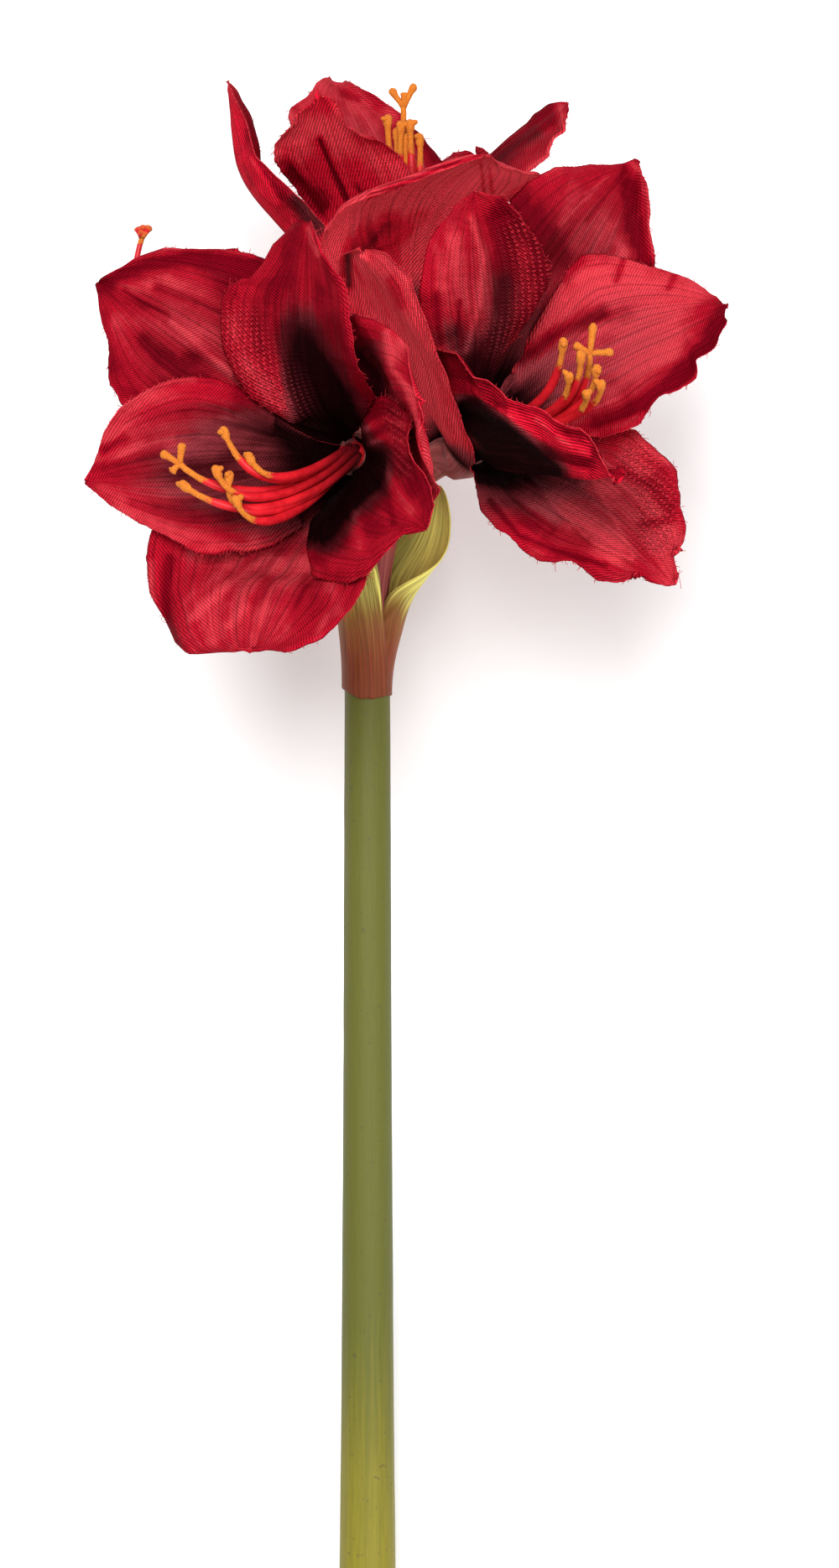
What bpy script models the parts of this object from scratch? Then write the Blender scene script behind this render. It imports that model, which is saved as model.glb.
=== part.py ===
"""Artificial amaryllis stem, laid down: four fabric blooms on one moulded stem.

Everything is worked out in millimetres in the stem frame, in which the stem stands upright: x to the
photograph's right, y away from its viewer, z up, and zero on the stem's axis just above its collar.
Every piece is a child of one empty, which lays the upright stem down on its back on z = 0.
"""

import math

import bmesh
import bpy
import numpy as np
from mathutils import Vector
from mathutils.bvhtree import BVHTree

MM = 0.001

COLLECTION = "amaryllis_stem"
SHARP = math.radians(40.0)

# Stem, wire core and bracts (mm, stem frame)
STEM_END = -489.0
STEM_TOP = -22.0
STEM_RADIUS_END = 12.4
STEM_RADIUS_COLLAR = 9.5
BORE_RADIUS = 2.2
WIRE_RADIUS = 1.8
WIRE_RECESS = 0.6
COLLAR_BOTTOM = -50.5
BRACT_THICKNESS = 0.7

# The way it lies: on its back, tipped head-up and rolled until the stem's end and two petals touch the floor
LIE_TILT = math.radians(11.295)
LIE_ROLL = math.radians(0.574)
LIE_SHIFT = (-18.26, 121.17, 107.84)

# Receptacle of a bloom, measured along its axis from its throat
SEAT = -5.6
CUP_RIM = -6.3
CUP_FLOOR = -10.3
CUP_RADIUS = 10.6
CUP_WALL = 1.3
HUB_RADIUS = 6.2
FILAMENT_RING = 3.4
FILAMENT_SPREAD = 2.0
FILAMENT_RADII = (1.6, 1.7, 1.9, 1.9, 1.8, 1.6, 1.4, 1.2, 2.0, 1.8, 0.7)
FILAMENT_KNOB = (1.7, 2.6)
NECK = -18.0
NECK_RADIUS = 5.3
PEDICEL_RADIUS = 3.7
PEDICEL_RISE = 36.0
CUP_UNDERSIDE = ((9.4, -12.3), (7.0, -15.3), (5.6, -18.0))

# Petals
PETAL_THICKNESS = 0.8
PETAL_GAP = 2.8
RING = {"in": 7.2, "out": 8.6}
CLAW = 6.6
SHARE = {"in": (60, 60), "out": (80, 80)}
FINE_ROWS, FINE_COLS = 40, 24
CAD_ROWS = (0, 5, 10, 15, 20, 26, 32, 37, 40)
CAD_COLS = (0, 3, 6, 9, 12, 15, 18, 21, 24)
TUCK_REACH = 24.0
TUCK_STEP = 9.0
TUCK_ROUNDS = 5
POKE_REACH = 7.0
POKE_GAP = 1.6
SPREAD_ROUNDS = 40
SOFT_ROUNDS = 24
EDGE_EASE = 0.14
EDGE_POWER = 1.4

# Each bloom: its throat, the way it faces, and its petals, innermost first. A petal has its tip, its
# half widths on its two sides, how far along each is widest, how pointed each end is (0.25 blunt, 1
# sharp), and the turn, cup and curl (degrees) of its blade; bow shifts its midrib sideways.
PETAL = dict(ring="in", half=(38, 38), widest=(0.55, 0.55), point=(0.55, 0.55), arch=0.45, back=0.35,
             flare=28, start=4, roll=0, cup=(20, 20), curl=(0, 0), bow=0, ruffle=(1.5, 1.5), waves=2.0,
             phase=(0.0, 0.5), claw=CLAW, wrap=1.25)
BLOOMS = {
    "left": dict(throat=(-9, -45, 50), axis=(-0.58, -0.80, 0.14), petals=[
        dict(tip=(-23, -95, 139), half=(46, 38), roll=-10, widest=(0.52, 0.55), point=(1.05, 0.6)),
        dict(tip=(-115, -50, 38), half=(40, 37), widest=(0.5, 0.62), point=(0.9, 0.65), bow=5),
        dict(tip=(24, -140, 14), half=(36, 46), widest=(0.5, 0.42), point=(0.6, 0.8), cup=(50, -18), start=45,
             arch=0.33, roll=-22),
        dict(ring="out", tip=(-111, -25, 122), half=(38, 45), widest=(0.62, 0.5), point=(1.0, 0.6), bow=-4,
             curl=(0, -40)),
        dict(ring="out", tip=(-46, -105, -34), half=(58, 52), widest=(0.66, 0.66), point=(0.25, 0.25),
             cup=(-8, 12), flare=34),
        dict(ring="out", tip=(24, -141, 64), half=(46, 27), widest=(0.6, 0.55)),
    ]),
    "right": dict(throat=(44, -11, 57), axis=(0.51, -0.63, 0.58), petals=[
        dict(tip=(44, -70, 154), half=(38, 26), roll=-50),
        dict(tip=(151, -5, 115), half=(38, 35), point=(0.7, 0.6)),
        dict(tip=(99, -109, 37), half=(38, 44), widest=(0.5, 0.36), point=(0.55, 0.9), cup=(60, 62), start=18,
             share=(60, 130), wrap=1.7, claw=10),
        dict(ring="out", tip=(125, -62, -5), half=(40, 34), widest=(0.45, 0.5), start=42, roll=25, arch=0.35,
             cup=(25, -25), claw=19),
        dict(ring="out", tip=(115, 22, 177), half=(34, 28), widest=(0.5, 0.45), point=(0.7, 0.9)),
        dict(ring="out", tip=(-3, -76, 127), half=(36, 46), widest=(0.5, 0.42), start=62, roll=30, arch=0.35,
             cup=(25, -35), claw=8, share=(80, 95), bow=4),
    ]),
    "top": dict(throat=(16, 45, 118), axis=(-0.03, -0.05, 1.0), petals=[
        dict(tip=(-19, -20, 200), half=(27, 36), widest=(0.45, 0.6), point=(1.3, 0.9), bow=-6),
        dict(tip=(-15, 100, 224), half=(38, 30), widest=(0.6, 0.5), point=(0.8, 1.2)),
        dict(tip=(85, 40, 204), half=(26, 32), roll=30, cup=(20, 10)),
        dict(ring="out", tip=(51, -50, 171), half=(40, 62), widest=(0.55, 0.4), point=(0.7, 0.8),
             cup=(20, -25), share=(80, 100)),
        dict(ring="out", tip=(-60, 55, 215), half=(48, 34), widest=(0.45, 0.5), start=55, flare=-20,
             cup=(65, 20)),
        dict(ring="out", tip=(48, 148, 194), half=(30, 32), flare=18),
    ]),
    "rear": dict(throat=(-15, 45, 75), axis=(-0.62, 0.70, 0.35), petals=[
        dict(tip=(-58, 99, 148), half=(29, 27), flare=15, arch=0.5),
        dict(tip=(-52, 127, 84), half=(28, 30), flare=14, arch=0.5),
        dict(tip=(-106, 88, 90), half=(27, 28), flare=12, arch=0.5),
        dict(ring="out", tip=(-29, 121, 128), half=(32, 33), flare=20, start=10),
        dict(ring="out", tip=(-80, 106, 52), half=(34, 32), flare=26, start=10),
        dict(ring="out", tip=(-94, 71, 128), half=(32, 31), flare=20, start=10),
    ]),
}
PEDICEL_START = {"left": (-3.8, -3.8), "right": (3.8, -3.8), "top": (3.8, 3.8), "rear": (-3.8, 3.8)}
PEDICEL_LEAD = {"left": 30, "right": 30, "top": 34, "rear": 18}
PEDICEL_BEND = {"left": (0, 0, 0), "right": (-4, 6, 9.5), "top": (7, -4, 0), "rear": (0, 0, 0)}
BRACTS = {
    "bract_front": dict(tip=(-14, -16, 42), half=(17, 15), turn=-44, radius=10.15),
    "bract_back": dict(tip=(30, 22, 40), half=(22, 18), turn=136, radius=10.15),
}

# The photograph's camera: how far it stands from the stem's axis, where it points (mm) and how many pixels
# of the photograph a millimetre takes at the axis
PHOTO_DISTANCE = 2200.0
PHOTO_CENTRE = (21.75, -86.0)
PHOTO_MIDDLE = (500, 935)
PHOTO_SCALE = 2.85

# Margins of the petals traced on the photograph: for each side of a petal (1 and -1, and 0 for its midrib)
# places along its length with the pixel it runs through there
EDGES = {
    "left_petal_1": {
        -1: [(0.2, 422, 514), (0.3, 432, 500), (0.38, 439, 481), (0.45, 430, 464), (0.55, 421, 438),
            (0.65, 417, 400), (0.75, 413, 362), (0.85, 398, 328), (0.95, 374, 286), (1, 367, 265)],
        1: [(0.24, 348, 505), (0.32, 325, 493), (0.4, 300, 475), (0.48, 278, 448), (0.56, 264, 415),
            (0.63, 260, 385), (0.7, 263, 360), (0.75, 272, 341), (0.8, 290, 335), (0.85, 310, 313),
            (0.9, 322, 292), (0.96, 345, 270), (1, 364, 265)]},
    "left_petal_2": {
        -1: [(0.3, 325, 492), (0.4, 292, 469), (0.46, 278, 461), (0.52, 254, 451), (0.58, 230, 447),
            (0.64, 207, 451), (0.7, 185, 459), (0.76, 159, 473), (0.82, 143, 485), (0.88, 124, 515),
            (0.95, 111, 551), (1, 100, 573)],
        1: [(0.3, 361, 629), (0.38, 326, 651), (0.47, 290, 656), (0.55, 262, 659), (0.62, 235, 656),
            (0.7, 205, 645), (0.78, 176, 628), (0.86, 147, 611), (0.94, 118, 592), (1, 101, 577)]},
    "left_petal_3": {
        -1: [(0.15, 392, 596), (0.25, 368, 622), (0.35, 362, 650), (0.45, 364, 668), (0.55, 369, 686),
            (0.65, 388, 692), (0.75, 415, 694), (0.82, 433, 688), (0.88, 455, 658), (0.94, 480, 637),
            (1, 506, 632)],
        1: [(0.15, 432, 530), (0.25, 433, 500), (0.32, 443, 477), (0.38, 453, 474), (0.46, 470, 482),
            (0.54, 485, 494), (0.6, 486, 506), (0.66, 481, 522), (0.73, 484, 542), (0.8, 492, 562),
            (0.88, 502, 585), (0.94, 508, 602), (1, 507, 629)]},
    "left_petal_4": {
        -1: [(0.42, 345, 340), (0.53, 316, 305), (0.6, 294, 299), (0.68, 262, 294), (0.76, 225, 292),
            (0.84, 191, 293), (0.9, 162, 304), (0.95, 141, 317), (1, 118, 335)],
        1: [(0.58, 165, 505), (0.66, 141, 480), (0.72, 131, 458), (0.78, 129, 438), (0.86, 126, 406),
            (0.94, 118, 370), (1, 117, 339)]},
    "left_petal_5": {
        -1: [(0.45, 205, 612), (0.53, 180, 632), (0.62, 174, 665), (0.72, 176, 705), (0.8, 192, 738),
            (0.87, 204, 765), (0.93, 222, 779), (0.97, 258, 776), (1, 296, 772)],
        1: [(0.55, 440, 655), (0.65, 438, 680), (0.73, 434, 700), (0.8, 422, 727), (0.86, 404, 747),
            (0.91, 383, 761), (0.95, 354, 772), (0.98, 333, 777), (1, 303, 773)]},
    "left_petal_6": {
        -1: [(0.68, 509, 606), (0.75, 522, 586), (0.81, 508, 560), (0.86, 500, 543), (0.91, 495, 525),
            (0.96, 498, 500), (1, 498, 478)],
        1: [(0.35, 397, 439), (0.45, 403, 405), (0.55, 406, 385), (0.62, 415, 373), (0.7, 430, 379),
            (0.77, 445, 387), (0.84, 462, 395), (0.9, 478, 413), (0.95, 484, 440), (1, 495, 474)]},
    "right_petal_1": {
        -1: [(0.18, 575, 470), (0.28, 590, 432), (0.38, 608, 408), (0.47, 626, 388), (0.55, 639, 370),
            (0.63, 651, 346), (0.7, 656, 322), (0.76, 648, 300), (0.82, 636, 277), (0.88, 618, 251),
            (0.95, 600, 233), (1, 571, 227)],
        1: [(0.3, 532, 455), (0.42, 520, 425), (0.5, 512, 398), (0.58, 503, 372), (0.66, 499, 345),
            (0.73, 505, 315), (0.8, 513, 290), (0.86, 528, 266), (0.93, 540, 246), (1, 563, 229)]},
    "right_petal_2": {
        -1: [(0.28, 670, 515), (0.38, 712, 517), (0.47, 744, 511), (0.54, 763, 503), (0.6, 773, 486),
            (0.66, 786, 471), (0.72, 808, 463), (0.78, 828, 452), (0.82, 828, 428), (0.87, 849, 414),
            (0.92, 852, 398), (0.96, 860, 383), (1, 869, 366)],
        1: [(0.25, 608, 445), (0.34, 630, 404), (0.42, 648, 372), (0.48, 661, 347), (0.54, 676, 322),
            (0.6, 695, 304), (0.66, 722, 302), (0.72, 750, 307), (0.78, 783, 317), (0.84, 812, 329),
            (0.9, 836, 339), (0.95, 855, 350), (1, 868, 361)]},
    "right_petal_3": {
        -1: [(0.25, 516, 440), (0.32, 521, 415), (0.4, 537, 420), (0.46, 552, 423), (0.5, 559, 433),
            (0.54, 568, 450), (0.58, 583, 454), (0.62, 592, 464), (0.66, 600, 473), (0.7, 621, 478),
            (0.74, 638, 481), (0.78, 650, 488), (0.82, 660, 499), (0.86, 678, 507), (0.9, 694, 509),
            (0.93, 706, 519), (0.96, 713, 532), (0.98, 718, 545), (1, 732, 566)],
        0: [(0.15, 565, 528), (0.25, 577, 548), (0.35, 594, 558), (0.45, 614, 562), (0.55, 636, 563),
            (0.65, 657, 564), (0.75, 678, 567), (0.85, 700, 570), (1, 733, 567)],
        1: [(0.15, 600, 545), (0.3, 625, 520), (0.45, 652, 508), (0.6, 684, 516), (0.75, 707, 535),
            (0.88, 722, 552), (1, 735, 568)]},
    "right_petal_4": {
        -1: [(0.15, 564, 562), (0.22, 566, 583), (0.29, 573, 606), (0.36, 590, 631), (0.43, 611, 646),
            (0.5, 631, 662), (0.56, 645, 670), (0.62, 662, 672), (0.69, 680, 670), (0.75, 694, 677),
            (0.81, 712, 691), (0.86, 727, 692), (0.91, 747, 684), (0.95, 762, 684), (0.98, 777, 697),
            (1, 795, 700)],
        1: [(0.35, 718, 508), (0.44, 757, 510), (0.52, 773, 526), (0.59, 796, 550), (0.64, 805, 561),
            (0.71, 809, 587), (0.76, 809, 604), (0.82, 817, 628), (0.87, 814, 644), (0.91, 802, 657),
            (0.96, 807, 680), (1, 803, 695)]},
    "right_petal_5": {
        -1: [(0.65, 779, 312), (0.72, 777, 285), (0.8, 773, 252), (0.88, 769, 222), (0.95, 762, 202),
            (1, 754, 190)],
        1: [(0.55, 606, 240), (0.62, 620, 228), (0.69, 640, 213), (0.76, 664, 200), (0.83, 690, 198),
            (0.89, 714, 195), (0.94, 732, 196), (1, 750, 190)]},
    "right_petal_6": {
        -1: [(0.1, 508, 522), (0.18, 500, 500), (0.27, 490, 470), (0.36, 472, 440), (0.46, 448, 412),
            (0.56, 420, 388), (0.66, 407, 358), (0.76, 403, 336), (0.86, 405, 318), (0.93, 411, 303),
            (1, 429, 296)],
        1: [(0.1, 560, 560), (0.18, 566, 552), (0.27, 564, 535), (0.35, 555, 513), (0.44, 547, 481),
            (0.52, 536, 447), (0.6, 522, 415), (0.68, 511, 385), (0.76, 499, 350), (0.82, 490, 329),
            (0.88, 472, 315), (0.94, 459, 303), (1, 432, 296)]},
    "top_petal_1": {
        -1: [(0.33, 395, 280), (0.42, 370, 250), (0.5, 352, 225), (0.58, 337, 202), (0.66, 330, 186),
            (0.73, 328, 170), (0.79, 338, 159), (0.85, 351, 148), (0.9, 353, 137), (0.95, 372, 125),
            (1, 383, 112)],
        1: [(0.4, 500, 250), (0.5, 495, 212), (0.57, 486, 198), (0.63, 474, 182), (0.69, 460, 170),
            (0.75, 446, 161), (0.8, 432, 158), (0.85, 419, 148), (0.9, 410, 136), (0.95, 397, 118),
            (1, 387, 112)]},
    "top_petal_2": {
        -1: [(0.45, 525, 220), (0.55, 528, 190), (0.63, 507, 166), (0.7, 494, 150), (0.77, 476, 133),
            (0.84, 449, 115), (0.9, 431, 105), (0.95, 417, 95), (1, 405, 92)],
        1: [(0.6, 352, 175), (0.68, 346, 160), (0.75, 342, 141), (0.81, 346, 129), (0.87, 370, 114),
            (0.92, 380, 98), (0.96, 392, 93), (1, 402, 92)]},
    "top_petal_3": {
        -1: [(0.55, 600, 225), (0.66, 635, 203), (0.74, 657, 188), (0.8, 662, 166), (0.85, 673, 155),
            (0.9, 668, 142), (0.95, 670, 132), (1, 678, 123)],
        1: [(0.55, 540, 188), (0.65, 580, 183), (0.75, 605, 162), (0.83, 636, 148), (0.88, 637, 137),
            (0.94, 655, 127), (1, 676, 122)]},
    "top_petal_4": {
        -1: [(0.38, 396, 325), (0.47, 383, 300), (0.55, 386, 274), (0.62, 400, 255), (0.68, 415, 245),
            (0.75, 440, 232), (0.82, 480, 217), (0.9, 529, 196), (0.95, 552, 189), (1, 579, 184)],
        1: [(0.55, 628, 225), (0.65, 640, 212), (0.74, 641, 203), (0.82, 620, 206), (0.89, 606, 203),
            (0.95, 594, 196), (1, 583, 186)]},
    "top_petal_5": {
        1: [(0.35, 396, 288), (0.43, 386, 265), (0.52, 373, 239), (0.62, 349, 210), (0.72, 321, 185),
            (0.8, 308, 163), (0.88, 297, 138), (0.95, 284, 110), (1, 273, 97)]},
    "top_petal_6": {
        -1: [(0.8, 600, 200), (0.88, 590, 188), (0.95, 578, 182), (1, 564, 178)],
        1: [(0.7, 500, 205), (0.8, 520, 197), (0.87, 530, 190), (0.94, 544, 178), (1, 556, 177)]},
}

# Colours: base colour, roughness, metallic
COLOURS = {
    "petal_red": ((0.42, 0.015, 0.03, 1), 0.8, 0.0),
    "stem_green": ((0.16, 0.22, 0.07, 1), 0.55, 0.0),
    "pedicel_brown": ((0.16, 0.05, 0.04, 1), 0.5, 0.0),
    "bract_green": ((0.35, 0.36, 0.1, 1), 0.55, 0.0),
    "stamen_red": ((0.72, 0.03, 0.02, 1), 0.45, 0.0),
    "wire_steel": ((0.5, 0.5, 0.5, 1), 0.35, 1.0),
}


def clear_scene():
    for obj in list(bpy.data.objects):
        bpy.data.objects.remove(obj, do_unlink=True)


def smooth(t):
    t = np.clip(t, 0, 1)
    return t * t * (3 - 2 * t)


def unit(v):
    v = np.asarray(v, float)
    return v / np.linalg.norm(v, axis=-1, keepdims=True)


def bezier(knots, steps):
    t = np.linspace(0, 1, steps)[:, None]
    a, b, c, d = (np.array(k, float) for k in knots)
    return (1 - t) ** 3 * a + 3 * (1 - t) ** 2 * t * b + 3 * (1 - t) * t * t * c + t**3 * d


def outline(s, widest, point):
    """Half width of a blade along its length, as a share of its widest."""
    rise = np.sin(np.pi / 2 * np.clip(s / widest, 0, 1)) ** 1.6
    fall = np.clip(1 - np.clip((s - widest) / (1 - widest), 0, 1) ** 2, 0, 1) ** point
    return rise * fall


def petal_surface(bloom, spec, rows=FINE_ROWS, cols=FINE_COLS):
    """Middle surface of one petal, as points on a (rows + 1, cols + 1) grid."""
    throat, axis = np.array(bloom["throat"], float), unit(bloom["axis"])
    tip = np.array(spec["tip"], float)
    radial = unit(tip - throat - axis * ((tip - throat) @ axis))
    across = np.cross(axis, radial)
    root = throat + SEAT * axis + RING[spec["ring"]] * radial
    start = math.radians(spec["start"])
    leave = math.cos(start) * axis + math.sin(start) * radial
    chord = tip - root
    reach = np.linalg.norm(chord)
    along = chord / reach
    outward = unit(along * (axis @ along) - axis)
    flare = math.radians(spec["flare"])
    arrive = math.cos(flare) * along + math.sin(flare) * outward
    knots = (root, root + spec["arch"] * reach * leave, tip - spec["back"] * reach * arrive, tip)
    t = np.linspace(0, 1, 201)[:, None]
    curve = bezier(knots, len(t)) + spec["bow"] * np.sin(np.pi * t) * across
    gone = np.concatenate([[0], np.cumsum(np.linalg.norm(np.diff(curve, axis=0), axis=1))])
    s = np.linspace(0, 1, rows + 1)
    mid = np.stack([np.interp(s * gone[-1], gone, curve[:, k]) for k in range(3)], 1)
    ahead = unit(np.gradient(mid, s, axis=0))
    side = unit(across - ahead * (ahead @ across)[:, None])
    inward = np.cross(ahead, side)
    roll = (math.radians(spec["roll"]) * smooth(s / 0.5))[:, None]
    side, inward = side * np.cos(roll) + inward * np.sin(roll), inward * np.cos(roll) - side * np.sin(roll)
    offset = mid - throat
    funnel = np.linalg.norm(offset - (offset @ axis)[:, None] * axis, axis=1)
    points = np.zeros((rows + 1, cols + 1, 3))
    lanes = np.linspace(-1, 1, cols + 1)
    blade = smooth(s / 0.45)
    fraction = np.linspace(0, 1, 49)
    share = spec.get("share", SHARE[spec["ring"]])
    for k, sign in enumerate((1, -1)):
        wide = spec["half"][k] * outline(s, spec["widest"][k], spec["point"][k])
        half = np.sqrt((spec["claw"] * (1 - smooth(s / 0.5))) ** 2 + wide**2)
        room = math.radians(share[k]) * funnel
        half = (np.maximum(half, 1.0) ** -6.0 + room**-6.0) ** (-1 / 6)
        bend = np.minimum(half / funnel, spec["wrap"]) * (1 - blade) + math.radians(spec["cup"][k]) * blade
        curl = math.radians(spec["curl"][k]) * blade
        angle = bend[:, None] * fraction + curl[:, None] * smooth((fraction - 0.5) / 0.5)
        step = (angle[:, 1:] + angle[:, :-1]) / 2
        out = np.concatenate([np.zeros((rows + 1, 1)), np.cumsum(np.cos(step), 1) / 48], 1) * half[:, None]
        up = np.concatenate([np.zeros((rows + 1, 1)), np.cumsum(np.sin(step), 1) / 48], 1) * half[:, None]
        swell = smooth((s - 0.2) / 0.3) * smooth((1.02 - s) / 0.15)
        wave = spec["ruffle"][k] * np.sin(2 * np.pi * (spec["waves"] * s + spec["phase"][k])) * swell
        for j in np.flatnonzero(sign * lanes > -1e-9):
            lane = abs(lanes[j])
            x = np.array([np.interp(lane, fraction, row) for row in out])
            z = np.array([np.interp(lane, fraction, row) for row in up]) + wave * lane**2.2
            points[:, j] = mid + sign * x[:, None] * side + z[:, None] * inward
    return points


def seen(place, depth):
    """The point at a depth (mm) that the camera sees at a pixel of the photograph."""
    scale = PHOTO_SCALE * PHOTO_DISTANCE / (PHOTO_DISTANCE + depth)
    return np.array([(place[0] - PHOTO_MIDDLE[0]) / scale + PHOTO_CENTRE[0], depth,
                     (PHOTO_MIDDLE[1] - place[1]) / scale + PHOTO_CENTRE[1]])


def fitted(points, edges):
    """Draws a petal's margins and midrib out to the lines traced for them."""
    cols = points.shape[1] - 1
    s = np.linspace(0, 1, len(points))
    lane = np.linspace(-1, 1, cols + 1)
    shift = np.zeros_like(points)
    for side, marks in edges.items():
        at, right, down = (np.array(column, float) for column in zip(*marks))
        line = points[:, {-1: 0, 0: cols // 2, 1: cols}[side]]
        wanted = np.array([seen((x, y), depth) for x, y, depth in
                           zip(np.interp(s, at, right), np.interp(s, at, down), line[:, 1])])
        hold = smooth((s - at[0]) / EDGE_EASE + 1)
        share = np.clip(side * lane, 0, 1) ** EDGE_POWER if side else 1 - np.abs(lane)
        shift += share[None, :, None] * (hold[:, None] * (wanted - line))[:, None]
    return points + shift


def surface_normals(points):
    """Unit normals of a grid, on the side that faces the bloom's axis."""
    along = np.gradient(points, axis=0)
    across = np.gradient(points, axis=1)
    return unit(np.cross(along, across))


def grid_tree(points):
    rows, cols = points.shape[:2]
    index = np.arange(rows * cols).reshape(rows, cols)
    faces = np.stack([index[:-1, :-1], index[1:, :-1], index[1:, 1:], index[:-1, 1:]], -1).reshape(-1, 4)
    return BVHTree.FromPolygons([Vector(p) for p in points.reshape(-1, 3)], faces.tolist())


def cad_grid(points):
    """The coarser grid that stands for a petal in the part."""
    return points[np.ix_(CAD_ROWS, CAD_COLS)]


def spread(shift, rounds):
    """Widens a field of shifts into a smooth swell."""
    size = shift
    for step in range(rounds):
        pad = np.pad(size, 1, mode="edge")
        blur = (pad[:-2, 1:-1] + pad[2:, 1:-1] + pad[1:-1, :-2] + pad[1:-1, 2:] + 4 * pad[1:-1, 1:-1]) / 8
        size = np.maximum(size, blur) if step < rounds - 8 else blur
    return 1.1 * size


def softened(field, rounds):
    """Evens out a field of directions over a grid."""
    for _ in range(rounds):
        pad = np.pad(field, ((1, 1), (1, 1), (0, 0)), mode="edge")
        field = (pad[:-2, 1:-1] + pad[2:, 1:-1] + pad[1:-1, :-2] + pad[1:-1, 2:] + 4 * field) / 8
    return unit(field)


def edge_points(points):
    """The coarse grid of a petal with two more points between each pair of its neighbours."""
    coarse = cad_grid(points)
    for _ in range(2):
        count = len(coarse)
        at = np.linspace(0, count - 1, 3 * (count - 1) + 1)
        low = np.minimum(at.astype(int), count - 2)
        part = (at - low)[:, None, None]
        coarse = (coarse[low] * (1 - part) + coarse[low + 1] * part).transpose(1, 0, 2)
    return coarse.reshape(-1, 3)


def tuck(points, normals, others, outside):
    """Moves a petal behind (outside) or in front of other petals wherever it would cut through them."""
    way = 1.0 if outside else -1.0
    need = np.zeros(points.shape[:2])
    for i in range(2, points.shape[0]):
        for j in range(points.shape[1]):
            normal = normals[i, j] * way
            start = Vector(points[i, j] - TUCK_REACH * normal)
            for tree, _ in others:
                hit = tree.ray_cast(start, Vector(normal), TUCK_REACH + PETAL_GAP)
                if hit[0] is not None:
                    need[i, j] = max(need[i, j], TUCK_REACH + PETAL_GAP - hit[3])
    own = grid_tree(cad_grid(points))
    for _, cloud in others:
        for point in cloud:
            near, _, index, distance = own.find_nearest(Vector(point), POKE_REACH)
            if near is None:
                continue
            row, col = divmod(index, len(CAD_COLS) - 1)
            block = slice(CAD_ROWS[row], CAD_ROWS[row + 1] + 1), slice(CAD_COLS[col], CAD_COLS[col + 1] + 1)
            depth = (point - np.array(near)) @ unit(normals[block].mean((0, 1))) * way
            if abs(depth) > 0.8 * distance and depth < POKE_GAP:
                need[block] = np.maximum(need[block], POKE_GAP - depth)
    if not need.any():
        return points, normals
    ease = smooth(np.linspace(0, 1, points.shape[0]) / 0.12)[:, None]
    need = spread(np.minimum(need, TUCK_STEP), SPREAD_ROUNDS) * ease
    points = points - (way * need)[..., None] * softened(normals, SOFT_ROUNDS)
    return points, surface_normals(points)


def all_petals():
    """Every petal's middle surface by name, none of them cutting through another."""
    grown = {}
    for bloom_name, bloom in BLOOMS.items():
        same = []
        other = [(grid_tree(cad_grid(p)), edge_points(p)) for p in grown.values()]
        for number, spec in enumerate(bloom["petals"], 1):
            points = petal_surface(bloom, {**PETAL, **spec})
            points = fitted(points, EDGES.get(f"{bloom_name}_petal_{number}", {}))
            normals = surface_normals(points)
            for _ in range(TUCK_ROUNDS):
                points, normals = tuck(points, normals, other, False)
                points, normals = tuck(points, normals, same, True)
            same.append((grid_tree(cad_grid(points)), edge_points(points)))
            grown[f"{bloom_name}_petal_{number}"] = points
    return grown


def lying_empty():
    """The empty that turns the upright stem onto its back and tips it head-up."""
    empty = bpy.data.objects.new("lying", None)
    empty.rotation_euler = (LIE_TILT - math.pi / 2, LIE_ROLL, 0.0)
    empty.location = Vector(LIE_SHIFT) * MM
    bpy.context.scene.collection.objects.link(empty)
    return empty


def material(name):
    made = bpy.data.materials.get(name)
    if made:
        return made
    colour, roughness, metallic = COLOURS[name]
    made = bpy.data.materials.new(name)
    made.use_nodes = True
    shader = made.node_tree.nodes["Principled BSDF"]
    shader.inputs["Base Color"].default_value = colour
    shader.inputs["Roughness"].default_value = roughness
    shader.inputs["Metallic"].default_value = metallic
    made.diffuse_color = colour
    return made


def add_object(name, mesh, colour, lying):
    """A named piece of the part, in the upright frame of the empty that lays it down."""
    mesh.shade_smooth()
    mesh.set_sharp_from_angle(angle=SHARP)
    mesh.materials.append(material(colour))
    obj = bpy.data.objects.new(name, mesh)
    obj.parent = lying
    bpy.data.collections[COLLECTION].objects.link(obj)
    return obj


def add_sheet(name, points, thickness, colour, lying):
    """A plain grid bent to the given points and made solid to both sides."""
    rows, cols = points.shape[:2]
    bm = bmesh.new()
    bmesh.ops.create_grid(bm, x_segments=cols - 1, y_segments=rows - 1, size=1)
    for vert, place in zip(bm.verts, points.reshape(-1, 3)):
        vert.co = place * MM
    mesh = bpy.data.meshes.new(name)
    bm.to_mesh(mesh)
    bm.free()
    obj = add_object(name, mesh, colour, lying)
    solid = obj.modifiers.new("thickness", "SOLIDIFY")
    solid.thickness = thickness * MM
    solid.offset = 0.0
    return obj


def add_turned(name, profile, closed, sides, colour, lying):
    """A profile of (radius, height) pairs, run down its outer side, turned about z."""
    bm = bmesh.new()
    verts = [bm.verts.new((radius * MM, 0.0, height * MM)) for radius, height in profile]
    for low, high in zip(verts, verts[1:] + verts[:1] * closed):
        bm.edges.new((low, high))
    mesh = bpy.data.meshes.new(name)
    bm.to_mesh(mesh)
    bm.free()
    obj = add_object(name, mesh, colour, lying)
    screw = obj.modifiers.new("turned", "SCREW")
    screw.steps = screw.render_steps = sides
    screw.use_merge_vertices = True
    screw.merge_threshold = 0.00001
    screw.use_normal_calculate = True
    return obj


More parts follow.
